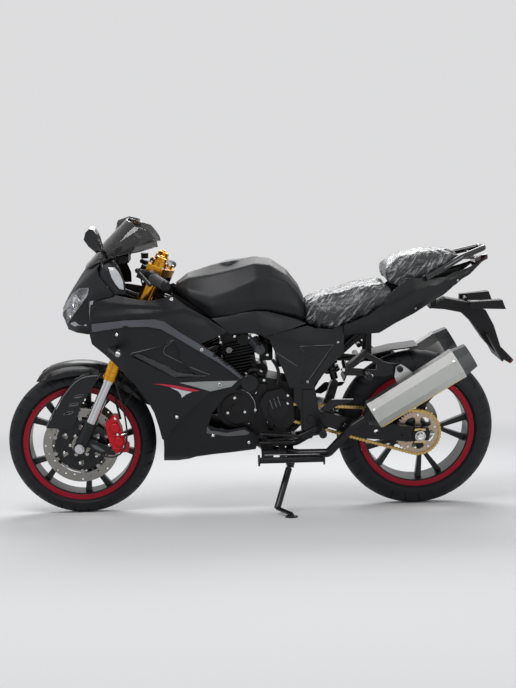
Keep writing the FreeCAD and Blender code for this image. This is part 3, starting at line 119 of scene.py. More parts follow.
MATT_BLACK = material("matt_black", (0.009, 0.0095, 0.0115), 0.44, vary=0.2, scale=8, bump=0.04, Specular_IOR_Level=0.3)
SATIN_BLACK = material("satin_black", (0.0075, 0.008, 0.009), 0.28, scale=12, bump=0.03, Specular_IOR_Level=0.35)
GLOSS_BLACK = material("gloss_black", (0.005, 0.005, 0.006), 0.08, vary=0.1, scale=20, Coat_Weight=0.6)
FRAME_BLACK = material("frame_black", (0.006, 0.006, 0.007), 0.26, vary=0.2, scale=30, Specular_IOR_Level=0.35)
CASTING = material("engine_casting", (0.008, 0.008, 0.009), 0.36, vary=0.25, scale=40, bump=0.2, bump_scale=1400,
                   Specular_IOR_Level=0.25)
ALLOY = material("cast_alloy", (0.36, 0.36, 0.37), 0.36, 1.0, vary=0.2, scale=50, bump=0.2, bump_scale=1200)
STEEL = material("brushed_steel", (0.55, 0.55, 0.56), 0.24, 1.0, scale=90)
ZINC = material("bright_zinc", (0.85, 0.85, 0.84), 0.2, 1.0, vary=0.08)
DISC_STEEL = material("disc_steel", (0.30, 0.285, 0.26), 0.34, 1.0, scale=70)
CHROME = material("chrome", (0.66, 0.66, 0.68), 0.09, 1.0, vary=0.05, scale=40)
POLISHED = material("polished_steel", (0.54, 0.55, 0.52), 0.36, 1.0, vary=0.06, scale=25)
GOLD = material("gold_anodised", (0.74, 0.34, 0.03), 0.24, 1.0, vary=0.12, scale=30)
RED_PAINT = material("red_caliper", (0.55, 0.003, 0.012), 0.36, vary=0.12, scale=50, Specular_IOR_Level=0.3)
RUBBER = material("rubber", (0.010, 0.010, 0.011), 0.6, vary=0.2, scale=70, bump=0.3, bump_scale=700)
TYRE = material("tyre_rubber", (0.011, 0.0115, 0.0135), 0.58, vary=0.3, scale=30, bump=0.2, bump_scale=500,
                Specular_IOR_Level=0.25)
GREY_RUBBER = material("grip_rubber", (0.035, 0.035, 0.037), 0.5, bump=0.3, bump_scale=600)
COPPERY = material("sprocket_steel", (0.52, 0.40, 0.30), 0.28, 1.0, vary=0.2)
CHAIN_GOLD = material("chain_gold", (0.62, 0.40, 0.11), 0.3, 1.0, scale=80)
RED_LENS = material("red_lens", (0.45, 0.004, 0.008), 0.12, vary=0.1, Coat_Weight=0.5)
LAMP_GREY = material("lamp_reflector", (0.50, 0.51, 0.53), 0.28, 0.6, vary=0.3, scale=30)
SMOKED_LENS = material("smoked_lens", (0.03, 0.006, 0.007), 0.1, vary=0.1, scale=50, Coat_Weight=0.5)
BLACK_PLASTIC = material("black_plastic", (0.0085, 0.0085, 0.0095), 0.42, vary=0.2, scale=40, bump=0.1,
                         Specular_IOR_Level=0.25)
VINYL = material("seat_vinyl", (0.010, 0.010, 0.011), 0.42, vary=0.2, scale=30, bump=0.35, bump_scale=1500)
CLEAR = material("clear_lens", (0.95, 0.96, 0.97), 0.03, vary=0.02, scale=10, Transmission_Weight=1.0, IOR=1.49)
SMOKE = material("smoked_screen", (0.13, 0.133, 0.125), 0.04, vary=0.03, scale=6, Transmission_Weight=0.9, IOR=1.49)

# The finish of each carried-over node
FINISH = {
    MATT_BLACK: ("side_fairings", "belly_fairing", "fuel_tank", "mid_covers", "nose_fairing"),
    LAMP_GREY: ("headlamp_unit",),
    SATIN_BLACK: ("front_fender", "tail_fairing", "side_covers", "cockpit_trims"),
    GLOSS_BLACK: ("grab_rail", "mirrors"),
    FRAME_BLACK: ("rear_axle", "main_frame", "subframe", "swingarm", "side_stand", "low_bar", "fairing_stay",
                  "exhaust_pipes", "pillion_pegs", "rider_pegs", "foot_levers", "front_rim", "rear_rim", "rear_shock"),
    CASTING: ("crankcase", "cylinder", "cylinder_head", "engine_covers", "sprocket_cover", "carburettor"),
    STEEL: ("front_axle", "front_sprocket"),
    DISC_STEEL: ("front_discs", "rear_disc"),
    POLISHED: ("mufflers",),
    GOLD: ("fork_legs", "triple_clamps"),
    RED_PAINT: ("caliper",),
    COPPERY: ("rear_sprocket",),
    CHAIN_GOLD: ("chain",),
    TYRE: ("front_tyre", "rear_tyre"),
    BLACK_PLASTIC: ("handlebars", "instruments", "dash_panel", "rear_mudguard", "plate_hanger", "brake_hose",
                    "front_signals", "rear_signals"),
    RED_LENS: ("reflector",),
    SMOKED_LENS: ("tail_lamp",),
    VINYL: ("seat_front", "seat_rear"),
    CLEAR: ("headlamp_lenses",),
    SMOKE: ("windscreen",),
}
NODES = frame["nodes"]
for finish, names in FINISH.items():
    for name in names:
        NODES[name].data.materials.clear()
        NODES[name].data.materials.append(finish)

# The photograph's camera: place and turn in the leaning bike's ground frame, millimetres and radians
EYE = Vector((557.8, -4938.0, 706.7))
YAW, PITCH, ROLL = math.radians(1.78), math.radians(-0.58), math.radians(-1.45)
FOCAL_PIXELS = 1217.3
LONG_SIDE = 688
ahead = Vector((math.sin(YAW) * math.cos(PITCH), math.cos(YAW) * math.cos(PITCH), math.sin(PITCH)))
level = Vector((math.cos(YAW), -math.sin(YAW), 0))
upward = level.cross(ahead)
right = level * math.cos(ROLL) + upward * math.sin(ROLL)
top = upward * math.cos(ROLL) - level * math.sin(ROLL)
camera = bpy.data.objects.new("camera", bpy.data.cameras.new("camera"))
bpy.context.scene.collection.objects.link(camera)
camera.matrix_world = Matrix.Translation(SHIFT + EYE / 1000) @ Matrix((right, top, -ahead)).transposed().to_4x4()
camera.data.sensor_width = 36
camera.data.lens = 36 * FOCAL_PIXELS / LONG_SIDE
camera.data.clip_end = 100
bpy.context.scene.camera = camera


# Floor, backdrop and studio light
BACKGROUND = (0.72, 0.72, 0.73, 1)
FLOOR_COLOUR = (0.80, 0.80, 0.80, 1)
SKY_COLOUR = (0.80, 0.84, 0.90, 1)
SKY_STRENGTH = 0.34
FADE_FROM, FADE_TO = 1.3, 5.0


def floor():
    """Pale floor that passes into the white background a few metres out."""
    bpy.ops.mesh.primitive_plane_add(size=60)
    plane = bpy.context.object
    plane.name = "floor"
    m = bpy.data.materials.new("floor")
    m.use_nodes = True
    tree = m.node_tree
    link = tree.links.new
    shader = tree.nodes["Principled BSDF"]
    set_inputs(shader, Base_Color=FLOOR_COLOUR, Roughness=0.8)
    length = add_node(tree, "VectorMath")
    length.operation = "LENGTH"
    link(add_node(tree, "TexCoord").outputs["Object"], length.inputs[0])
    fade = add_node(tree, "MapRange", From_Min=FADE_FROM, From_Max=FADE_TO)
    fade.interpolation_type = "SMOOTHSTEP"
    link(length.outputs["Value"], fade.inputs["Value"])
    seen = add_node(tree, "Math")
    seen.operation = "MULTIPLY"
    link(fade.outputs["Result"], seen.inputs[0])
    link(add_node(tree, "LightPath").outputs["Is Camera Ray"], seen.inputs[1])
    glow = add_node(tree, "Emission", Color=BACKGROUND)
    choose = add_node(tree, "MixShader")
    link(seen.outputs["Value"], choose.inputs["Fac"])
    link(shader.outputs["BSDF"], choose.inputs[1])
    link(glow.outputs["Emission"], choose.inputs[2])
    link(choose.outputs["Shader"], tree.nodes["Material Output"].inputs["Surface"])
    plane.data.materials.append(m)


def area_light(name, place, target, size, power):
    """A rectangular lamp that looks from its place at the target."""
    data = bpy.data.lights.new(name, "AREA")
    data.shape = "RECTANGLE"
    data.size, data.size_y = size
    data.energy = power
    lamp = bpy.data.objects.new(name, data)
    lamp.location = place
    lamp.rotation_euler = (Vector(target) - Vector(place)).to_track_quat("-Z", "Y").to_euler()
    bpy.context.scene.collection.objects.link(lamp)


def studio_world():
    """Soft sky that lights the bike, and the plain background where the camera sees it, also in glass and mirrors."""
    world = bpy.data.worlds.new("studio")
    bpy.context.scene.world = world
    world.use_nodes = True
    tree = world.node_tree
    link = tree.links.new
    sky = tree.nodes["Background"]
    set_inputs(sky, Color=SKY_COLOUR, Strength=SKY_STRENGTH)
    plain = add_node(tree, "Background", Color=BACKGROUND)
    rays = add_node(tree, "LightPath")
    share = rays.outputs["Is Camera Ray"]
    for kind in ("Is Transmission Ray", "Is Glossy Ray"):
        either = add_node(tree, "Math")
        either.operation = "MAXIMUM"
        link(share, either.inputs[0])
        link(rays.outputs[kind], either.inputs[1])
        share = either.outputs["Value"]
    choose = add_node(tree, "MixShader")
    link(share, choose.inputs["Fac"])
    link(sky.outputs["Background"], choose.inputs[1])
    link(plain.outputs["Background"], choose.inputs[2])
    link(choose.outputs["Shader"], tree.nodes["World Output"].inputs["Surface"])


floor()
area_light("key", (-1.4, -2.2, 3.6), (0, 0, 0.5), (2.6, 1.2), 75)
area_light("fill", (2.6, -2.8, 1.6), (0, 0, 0.5), (1.4, 2.0), 26)
area_light("back", (0.2, 2.4, 3.0), (0, 0, 0.6), (3.4, 1.4), 80)
studio_world()
bpy.context.scene.view_settings.view_transform = "Standard"


# Piece helpers. They take upright bike millimetres and leave each piece in the frame, riding on its body.
WELD = 0.02
FAR_OUT = 700
FLAT_EDGE = 35
EVERY_AXIS = {"use_axis_x": True, "use_axis_y": True, "use_axis_z": True}
VOXEL = 0.005
SHELLS = {}


def keep(name, bm, finish, body="chassis", sharp=30):
    """Makes the mesh a piece that rides on the body; edges over sharp degrees stay crisp."""
    mesh = bpy.data.meshes.new(name)
    bm.to_mesh(mesh)
    bm.free()
    mesh.transform(TO_ROW)
    mesh.shade_smooth()
    mesh.set_sharp_from_angle(angle=math.radians(sharp))
    mesh.materials.append(finish)
    piece = bpy.data.objects.new(name, mesh)
    bpy.context.scene.collection.objects.link(piece)
    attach(piece, body)
    return piece


def shell_mesh(node, flat):
    """The node's own mesh in bike millimetres, its flats within this many degrees joined."""
    bm = bmesh.new()
    bm.from_mesh(NODES[node].data)
    bm.transform(TO_BIKE)
    bmesh.ops.remove_doubles(bm, verts=bm.verts, dist=WELD)
    bmesh.ops.dissolve_limit(bm, angle_limit=math.radians(flat), verts=bm.verts, edges=bm.edges)
    return bm


def soften(node, finish, width, paint=None):
    """The node's own shape with its edges rounded: it stands for the node."""
    piece = keep(node + "_shell", shell_mesh(node, 1), finish, NODES[node]["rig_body"], FLAT_EDGE)
    if paint:
        paint_faces(piece, paint)
    rounded(piece, width, FLAT_EDGE)
    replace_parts(piece, node)


def cut_at(bm, point, normal):
    """Cuts every face that the plane crosses."""
    bmesh.ops.bisect_plane(bm, geom=bm.verts[:] + bm.edges[:] + bm.faces[:], plane_co=point, plane_no=normal)


def relaxed(node, finish, cell=10, rounds=30, width=1.2, sharp=40, sculpt=None):
    """The node's own shape with the soft creases between its flats eased out and its edges rounded."""
    bm = shell_mesh(node, 0.5)
    for axis in range(3):
        low = min(v.co[axis] for v in bm.verts)
        high = max(v.co[axis] for v in bm.verts)
        normal = Vector((0, 0, 0))
        normal[axis] = 1
        for k in range(int((high - low) / cell)):
            cut_at(bm, normal * (low + (k + 0.5) * cell), normal)
    bmesh.ops.dissolve_degenerate(bm, dist=0.4, edges=bm.edges)
    bmesh.ops.triangulate(bm, faces=[f for f in bm.faces if len(f.verts) > 4])
    limit = math.radians(sharp)
    held = set()
    for e in bm.edges:
        if len(e.link_faces) != 2 or e.calc_face_angle(0) > limit:
            held.update(e.verts)
    free = [v for v in bm.verts if v not in held]
    for _ in range(rounds):
        bmesh.ops.smooth_vert(bm, verts=free, factor=0.5, **EVERY_AXIS)
    if sculpt:
        for v in bm.verts:
            v.co.y += math.copysign(sculpt(v.co.x, v.co.z), v.co.y)
    piece = keep(node + "_shell", bm, finish, NODES[node]["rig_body"], sharp)
    SHELLS[node] = piece
    rounded(piece, width, sharp)
    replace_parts(piece, node)


def baked(piece):
    """The piece's mesh with its modifiers applied."""
    graph = bpy.context.evaluated_depsgraph_get()
    mesh = bpy.data.meshes.new_from_object(piece.evaluated_get(graph))
    piece.modifiers.clear()
    piece.data = mesh


def even_copy(name, node, finish, rounds):
    """A copy of the node's full body in even cells, with its creases eased out."""
    mesh = NODES[node].data.copy()
    mesh.materials.clear()
    mesh.materials.append(finish)
    piece = bpy.data.objects.new(name, mesh)
    bpy.context.scene.collection.objects.link(piece)
    even = piece.modifiers.new("even", "REMESH")
    even.mode = "VOXEL"
    even.voxel_size = VOXEL
    soft = piece.modifiers.new("soft", "SMOOTH")
    soft.iterations = rounds
    baked(piece)
    return piece


def remeshed(node, finish, rounds):
    """An even, eased copy of the full body: it stands for the node."""
    piece = even_copy(node + "_shell", node, finish, rounds)
    piece.data.shade_smooth()
    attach(piece, NODES[node]["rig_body"])
    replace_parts(piece, node)
    SHELLS[node] = piece


def rounded(piece, width, sharp):
    """Bevels the edges over sharp degrees, width in millimetres."""
    edge = piece.modifiers.new("edge", "BEVEL")
    edge.width = width / 1000
    edge.segments = 2
    edge.limit_method = "ANGLE"
    edge.angle_limit = math.radians(sharp)
    edge.use_clamp_overlap = True
    edge.harden_normals = True


def paint_faces(piece, paint):
    """Gives each face the finish that paint names for the face's middle, in bike millimetres."""
    mesh = piece.data
    finishes = []
    for face in mesh.polygons:
        finish = paint(TO_BIKE @ face.center)
        if finish not in finishes:
            finishes.append(finish)
        face.material_index = finishes.index(finish)
    slots = [face.material_index for face in mesh.polygons]
    mesh.materials.clear()
    for finish in finishes:
        mesh.materials.append(finish)
    mesh.polygons.foreach_set("material_index", slots)


def lathe(bm, profile, centre, axis, steps=48):
    """Revolves (distance along the axis, radius) points about the axis."""
    axis = Vector(axis).normalized()
    first = axis.orthogonal().normalized()
    second = axis.cross(first)
    rings = []
    for along, radius in profile:
        hub = Vector(centre) + axis * along
        if radius < 0.01:
            rings.append([bm.verts.new(hub)])
            continue
        angles = [2 * math.pi * k / steps for k in range(steps)]
        rings.append([bm.verts.new(hub + (first * math.cos(a) + second * math.sin(a)) * radius) for a in angles])
    for low, high in zip(rings, rings[1:]):
        for k in range(steps):
            loop = [low[k % len(low)], low[(k + 1) % len(low)], high[(k + 1) % len(high)], high[k % len(high)]]
            loop = list(dict.fromkeys(loop))
            if len(loop) > 2:
                bm.faces.new(loop)


def bridge(bm, low, high):
    """Faces between two closed rows of vertices."""
    for k in range(len(low)):
        n = (k + 1) % len(low)
        bm.faces.new((low[k], low[n], high[n], high[k]))


def turned(name, profile, centre, axis, finish, body="chassis", steps=48):
    """A round piece of its own, from the profile."""
    bm = bmesh.new()
    lathe(bm, profile, centre, axis, steps)
    bmesh.ops.recalc_face_normals(bm, faces=bm.faces)
    return keep(name, bm, finish, body)


def tube(name, points, radius, finish, body="chassis"):
    """A smooth round run through the points."""
    data = bpy.data.curves.new(name, "CURVE")
    data.dimensions = "3D"
    data.bevel_depth = radius / 1000
    data.bevel_resolution = 5
    data.use_fill_caps = True
    line = data.splines.new("NURBS")
    line.points.add(len(points) - 1)
    for k, p in enumerate(points):
        line.points[k].co = (*(TO_ROW @ Vector(p)), 1)
    line.order_u = min(4, len(points))
    line.use_endpoint_u = True
    line.resolution_u = 8
    data.materials.append(finish)
    piece = bpy.data.objects.new(name, data)
    bpy.context.scene.collection.objects.link(piece)
    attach(piece, body)


def tree_of(*names):
    """What a ray meets on these nodes, in bike millimetres."""
    verts, faces = [], []
    for name in names:
        mesh = SHELLS.get(name, NODES[name]).data
        start = len(verts)
        verts += [TO_BIKE @ v.co for v in mesh.vertices]
        faces += [[start + i for i in p.vertices] for p in mesh.polygons]
    return BVHTree.FromPolygons(verts, faces)


def on_skin(tree, x, z, side, lift):
    """The skin's point and outward normal at (x, z), seen from the left (side −1) or the right (+1)."""
    hit, normal, _, _ = tree.ray_cast(Vector((x, side * FAR_OUT, z)), Vector((0, -side, 0)))
    if hit is None:
        return None, None
    if normal.y * side < 0:
        normal = -normal
    return hit + Vector((0, side * lift, 0)), normal


def thicken(bm, depth):
    """Pulls a copy of all faces out along y, with walls between."""
    shape = bmesh.ops.extrude_face_region(bm, geom=bm.faces[:])
    moved = [g for g in shape["geom"] if isinstance(g, bmesh.types.BMVert)]
    bmesh.ops.translate(bm, verts=moved, vec=(0, depth, 0))


def decal(name, loop, finish, nodes, side, lift, cell=14, thick=0.0, even=0):
    """A sheet with the (x, z) outline that lies on the nodes' skin."""
    tree = tree_of(*nodes)
    bm = bmesh.new()
    bm.faces.new([bm.verts.new((x, 0, z)) for x, z in loop])
    xs = [x for x, z in loop]
    zs = [z for x, z in loop]
    for axis, low, high in (((1, 0, 0), min(xs), max(xs)), ((0, 0, 1), min(zs), max(zs))):
        for k in range(1, int((high - low) / cell) + 1):
            cut_at(bm, Vector(axis) * (low + k * cell), axis)
    lost = []
    for v in bm.verts:
        place, _ = on_skin(tree, v.co.x, v.co.z, side, lift)
        if place is None:
            lost.append(v)
        else:
            v.co = place
    bmesh.ops.delete(bm, geom=lost, context="VERTS")
    for _ in range(even):
        bmesh.ops.smooth_vert(bm, verts=bm.verts, factor=0.5, use_axis_x=False, use_axis_y=True, use_axis_z=False)
    if thick:
        thicken(bm, side * thick)
    bmesh.ops.recalc_face_normals(bm, faces=bm.faces)
    return keep(name, bm, finish, sharp=40)


def bolts(name, spots, radius, nodes, finish, side):
    """Round socket heads that stand on the nodes' skin at the (x, z) spots."""
    tree = tree_of(*nodes)
    bm = bmesh.new()
    head = ((-1, radius), (0.35 * radius, radius), (0.6 * radius, 0.8 * radius), (0.6 * radius, 0.45 * radius))
    for x, z in spots:
        place, normal = on_skin(tree, x, z, side, 0)
        if place is not None:
            lathe(bm, head, place, normal, 20)
            lathe(bm, ((0.6 * radius, 0.45 * radius), (0.1 * radius, 0.4 * radius), (0.1 * radius, 0)),
                  place, normal, 6)
    bmesh.ops.remove_doubles(bm, verts=bm.verts, dist=0.01)
    keep(name, bm, finish)


# Wheels: tyres with road tread and red rim bands
FRONT_HUB = (0, 0, FRONT_R)
REAR_HUB = (WHEELBASE, 0, REAR_Z)
RIM_R = 232
BAND = 21
SHOULDER = math.radians(86)
TREAD_PITCH = 2 * math.pi / 32
TREAD_STEPS = 720
GROOVE_HALF = 4.2
GROOVE_DEPTH = 5.5
GROOVE_FROM, LONG_ONLY_TO, GROOVE_TO = 0.1, 0.42, 0.86


def treaded(name, hub, outer, width, crown, rim_half):
    """Round tyre whose slanted grooves curve from the middle to the shoulders, in turn long and short."""
    bm = bmesh.new()
    across = []
    for k in range(41):
        s = -1 + k / 20
        a = s * SHOULDER
        across.append((s, width / 2 * math.sin(a) / math.sin(SHOULDER), outer - crown * (1 - math.cos(a))))
    wall = [(width / 2 - 1.5, RIM_R + 8), (width / 2 - 7, RIM_R + 4), (rim_half + 4, RIM_R + 0.5)]
    left = [(0, -y, r) for y, r in reversed(wall)]
    right = [(0, y, r) for y, r in wall]
    rings = []
    for s, y, r in left + across + right:
        ring = []
        for k in range(TREAD_STEPS):
            turn = 2 * math.pi * k / TREAD_STEPS
            reach = r
            if GROOVE_FROM < abs(s) < GROOVE_TO:
                beat = turn / TREAD_PITCH + (0.5 if s > 0 else 0) + 0.55 * abs(s) ** 1.3
                off = abs(beat - math.floor(beat) - 0.5) * TREAD_PITCH * outer
                if off < GROOVE_HALF and (math.floor(beat) % 2 == 0 or abs(s) > LONG_ONLY_TO):
                    reach -= GROOVE_DEPTH
            ring.append(bm.verts.new((hub[0] + reach * math.cos(turn), y, hub[2] + reach * math.sin(turn))))
        rings.append(ring)
    for low, high in zip(rings, rings[1:]):
        bridge(bm, low, high)
    bmesh.ops.recalc_face_normals(bm, faces=bm.faces)
    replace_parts(keep(name + "_tread", bm, TYRE, name + "_wheel", 28), name + "_tyre")


treaded("front", FRONT_HUB, FRONT_R, 110, 55, 38)
treaded("rear", REAR_HUB, REAR_R, 140, 70, 53)

RIM_RED = material("rim_red", (0.30, 0.002, 0.016), 0.34, vary=0.12, scale=40, Specular_IOR_Level=0.25)
for name, hub, face, body in (("front", FRONT_HUB, 42.5, "front_wheel"), ("rear", REAR_HUB, 57.5, "rear_wheel")):
    for side, where in SIDES:
        band = ((0, RIM_R), (1.2, RIM_R - 1), (1.2, RIM_R - 4), (0.5, RIM_R - 7), (0.5, RIM_R - BAND + 2),
                (0, RIM_R - BAND))
        turned(f"{name}_rim_band_{where}", band, (hub[0], side * face, hub[2]), (0, side, 0), RIM_RED, body, 128)
    soften(f"{name}_rim", SATIN_BLACK, 2.0)

# Front brake discs: black carrier, floating buttons and bolts
DISC_FACE = 66.5


def ring_of(name, count, first, radius, profile, steps, centre, side, finish, body):
    """Like turned parts evenly round the centre on one side's face; first is a share of a step."""
    bm = bmesh.new()
    for k in range(count):
        a = 2 * math.pi * (k + first) / count
        spot = (centre[0] + radius * math.cos(a), centre[1], centre[2] + radius * math.sin(a))
        lathe(bm, profile, spot, (0, side, 0), steps)
    keep(name, bm, finish, body)


for side, where in SIDES:
    plate = ((-1, 38), (1.2, 38), (2, 40), (2, 60), (1, 62), (1, 84), (2, 86), (2, 101), (1.2, 103), (-1, 103))
    turned("disc_carrier_" + where, plate, (0, side * (DISC_FACE - 1), FRONT_R), (0, side, 0), SATIN_BLACK,
           "front_wheel", 96)
    centre = (0, side * DISC_FACE, FRONT_R)
    button = ((0, 8), (1.6, 8), (1.6, 5.5), (0.8, 5), (0.8, 0))
    ring_of("disc_buttons_" + where, 10, 0.5, 107, button, 18, centre, side, ALLOY, "front_wheel")
    bolt = ((0, 6.5), (4, 6.5), (5, 5), (5, 3), (2.5, 2.6), (2.5, 0))
    ring_of("disc_bolts_" + where, 6, 0, 43, bolt, 12, centre, side, STEEL, "front_wheel")

# Finishes by height on the forks and by place on the mufflers
FORK_GOLD_FROM = 294
FORK_CHROME_FROM = 116
BRACKET_FROM = 58.5
LIT_FROM = 27
BRACKET = material("alloy_bracket", (0.55, 0.56, 0.55), 0.3, 0.9, vary=0.12)
# Painted shade: a darker copy of the polished steel for the mufflers' lit upper side, where the key light falls
PAINTED_SHADE_STEEL = material("polished_steel_painted_shade", (0.20, 0.20, 0.195), 0.42, 1.0, vary=0.06, scale=25)
CAP_GREY = material("muffler_cap", (0.05, 0.052, 0.056), 0.36, vary=0.2, scale=30, bump=0.05)


def fork_finish(p):
    """Black foot, chrome tube and gold top, by the height along the leg."""
    up = p.x * math.sin(RAKE) + (p.z - FRONT_R) * math.cos(RAKE)
    if up > FORK_GOLD_FROM:
        return GOLD
    if up > FORK_CHROME_FROM:
        return CHROME
    return SATIN_BLACK


MUFFLER_FOOT = Vector((1140, 197, 418))
MUFFLER_LINE = Vector((355, 0, 211)).normalized()
MUFFLER_LENGTH = 380
MUFFLER_RISE = Vector((-MUFFLER_LINE.z, 0, MUFFLER_LINE.x))


def muffler_finish(p):
    """Grey cap, black foot, alloy bracket, and a darker painted shade on the lit upper side of the polished body."""
    reach = Vector((p.x - MUFFLER_FOOT.x, 0, p.z - MUFFLER_FOOT.z))
    along = reach.dot(MUFFLER_LINE)
    up = reach.dot(MUFFLER_RISE)
    if along > MUFFLER_LENGTH + 0.5:
        return CAP_GREY
    if along < -0.5:
        return FRAME_BLACK
    if up > BRACKET_FROM:
        return BRACKET
    # The lit upper side gets the darker painted shade
    return PAINTED_SHADE_STEEL if up > LIT_FROM else POLISHED


EDGE_WIDTHS = {
    0.6: ("front_discs", "rear_disc"),
    1.8: ("caliper", "swingarm", "pillion_pegs", "rider_pegs", "low_bar", "handlebars", "triple_clamps",
          "cylinder_head", "crankcase", "sprocket_cover", "grab_rail", "side_stand", "carburettor", "foot_levers",
          "engine_covers", "plate_hanger", "rear_signals", "front_signals", "tail_lamp", "dash_panel"),
}
for width, names in EDGE_WIDTHS.items():
    for node in names:
        soften(node, NODES[node].data.materials[0], width)
soften("fork_legs", GOLD, 1.0, paint=fork_finish)
soften("mufflers", POLISHED, 2.5, paint=muffler_finish)

# Crests of the side fairing: (x, z) runs with the height and the half widths above and below
UPPER_CREST = ((64, 880), (179, 873), (271, 865), (358, 855), (430, 846))
MIDDLE_CREST = ((64, 812), (207, 832), (307, 836), (370, 843), (423, 848), (494, 822), (543, 784), (584, 752))
CRESTS = ((UPPER_CREST, 6.0, 26, 16), (MIDDLE_CREST, 7.0, 24, 18))


def run_distance(run, x, z):
    """Distance from (x, z) to the run, less than 0 below it."""
    best = None
    for (x0, z0), (x1, z1) in zip(run, run[1:]):
        across = Vector((x1 - x0, z1 - z0))
        t = max(0.0, min(1.0, Vector((x - x0, z - z0)).dot(across) / across.length_squared))
        off = Vector((x - x0 - t * across.x, z - z0 - t * across.y))
        sign = 1 if across.x * off.y - across.y * off.x > 0 else -1
        if best is None or off.length < abs(best):
            best = sign * off.length
    return best


def fairing_sculpt(x, z):
    """How far the crests lift the side fairing's skin at (x, z)."""
    raise_by = 0.0
    for run, height, above, below in CRESTS:
        d = run_distance(run, x, z)
        reach = above if d > 0 else below
        ends = min(1.0, max(0.0, (x - run[0][0] + 8) / 70), max(0.0, (run[-1][0] + 10 - x) / 60))
        if abs(d) < reach:
            raise_by = max(raise_by, height * (1 - abs(d) / reach) ** 1.2 * max(0.0, ends))
    return raise_by


for node in ("belly_fairing", "mid_covers", "side_covers", "nose_fairing", "tail_fairing", "cockpit_trims"):
    relaxed(node, NODES[node].data.materials[0])
relaxed("side_fairings", MATT_BLACK, cell=7.6, rounds=34, sculpt=fairing_sculpt)
remeshed("fuel_tank", MATT_BLACK, 12)
relaxed("front_fender", SATIN_BLACK, cell=8, rounds=8)
relaxed("mirrors", GLOSS_BLACK, cell=7.5, rounds=24)

# Windscreen: (x, half width, foot, crown) of its cross-sections, its wall in metres,
# and (share from foot to crown, x) of its rear edge
SCREEN_ROWS = ((47, 58, 987, 1001), (84, 94, 1009, 1041), (117, 114, 1023, 1085), (160, 124, 1039, 1127),
               (206, 128, 1049, 1171), (260, 126, 1057, 1212), (336, 118, 1077, 1262))
SCREEN_WALL = 0.0028
SCREEN_REAR = ((0, 331), (0.06, 328), (0.29, 295), (0.48, 250), (0.75, 220), (1, 207))


def between(rows, t):
    """The table's row at t, eased between its rows."""
    t = max(rows[0][0], min(rows[-1][0], t))
    for low, high in zip(rows, rows[1:]):
        if t <= high[0]:
            share = (t - low[0]) / (high[0] - low[0])
            return [a + (b - a) * share for a, b in zip(low, high)]
    return list(rows[-1])


def windscreen():
    """Bubble of smoked plastic through the cross-sections, trimmed at its rear edge."""
    bm = bmesh.new()
    rows, columns = 36, 48
    nose = SCREEN_ROWS[0][0]
    grid = []
    for i in range(rows + 1):
        line = []
        for j in range(-columns, columns + 1):
            v = 1 - abs(j) / columns
            side = -1 if j < 0 else 1
            x = nose + (between(SCREEN_REAR, v)[1] - nose) * i / rows
            _, half, foot, crown = between(SCREEN_ROWS, x)
            turn = v * math.pi / 2
            bubble = 0.94 + 0.06 * min(1.0, max(0.0, (v - 0.55) / 0.3))
            y = side * half * math.cos(turn) ** 0.82
            z = foot + (crown - foot) * math.sin(turn) ** 0.95 * bubble
            line.append(bm.verts.new((x, y, z)))
        grid.append(line)
    for low, high in zip(grid, grid[1:]):
        for k in range(len(low) - 1):
            bm.faces.new((low[k], low[k + 1], high[k + 1], high[k]))
    for _ in range(8):
        inner = [v for v in bm.verts if not v.is_boundary]
        bmesh.ops.smooth_vert(bm, verts=inner, factor=0.5, **EVERY_AXIS)
    bmesh.ops.recalc_face_normals(bm, faces=bm.faces)
    piece = keep("windscreen_shell", bm, SMOKE, "chassis", 60)
    wall = piece.modifiers.new("wall", "SOLIDIFY")
    wall.thickness = SCREEN_WALL
    wall.offset = 0
    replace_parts(piece, "windscreen")


windscreen()

# Side fairing: bevelled band in a pale painted highlight, side flash, perforated vent strip with painted highlights
# along its edges, and bolts
# Painted highlight: the band's pale colour stands in for light caught on the fairing's bevelled upper edge
BAND_PAINTED_HIGHLIGHT = material("band_painted_highlight", (0.075, 0.08, 0.095), 0.34, vary=0.3, scale=3)
FLASH_SILVER = material("flash_silver", (0.30, 0.31, 0.31), 0.32, 0.35, vary=0.12, scale=14)
FLASH_RED = material("flash_red", (0.50, 0.012, 0.04), 0.3, vary=0.1, scale=20)
FLASH_WHITE = material("flash_white", (0.62, 0.63, 0.65), 0.32, vary=0.06, scale=20)
# Painted highlight: pale grey for light caught along edges, creases and the inner faces of openings
EDGE_PAINTED_HIGHLIGHT = material("edge_painted_highlight", (0.10, 0.103, 0.107), 0.3, vary=0.1, scale=20)
MESH_DOTS = material("mesh_rims", (0.15, 0.152, 0.155), 0.35, scale=40)
DARK_STRIP = material("mesh_back", (0.006, 0.006, 0.007), 0.6, vary=0.2, scale=30)

FAIRING = ("side_fairings", "belly_fairing")
BAND_LOOP = [(72, 793), (200, 812), (312, 814), (351, 804), (414, 758), (478, 717), (542, 671), (606, 620), (645, 584),
             (631, 574), (584, 615), (541, 648), (477, 689), (413, 731), (337, 777), (285, 787), (199, 787), (74, 762)]
WEDGE_LOOP = [(399, 566), (500, 568), (620, 566), (597, 544), (516, 528), (464, 546)]
RED_LOOP = [(299, 563), (340, 562), (381, 556), (430, 545), (477, 532), (446, 529), (408, 537), (372, 548), (335, 557)]
HOOK_LOOP = [(362, 549), (408, 536), (446, 528), (424, 519), (407, 506), (404, 518), (394, 532)]
STRIP_LOOP = [(218, 680), (262, 655), (313, 626), (381, 585), (450, 587), (516, 592), (450, 596), (396, 604),
              (345, 634), (282, 666), (248, 682)]
VENT_TOP = [(221, 684), (278, 697), (328, 710), (360, 724), (383, 734)]
VENT_FACE = [(383, 732), (345, 702), (342, 680), (389, 653), (451, 622), (516, 594)]
FAIRING_BOLTS = ((169, 756), (488, 694), (600, 767), (385, 428), (521, 341), (660, 305))
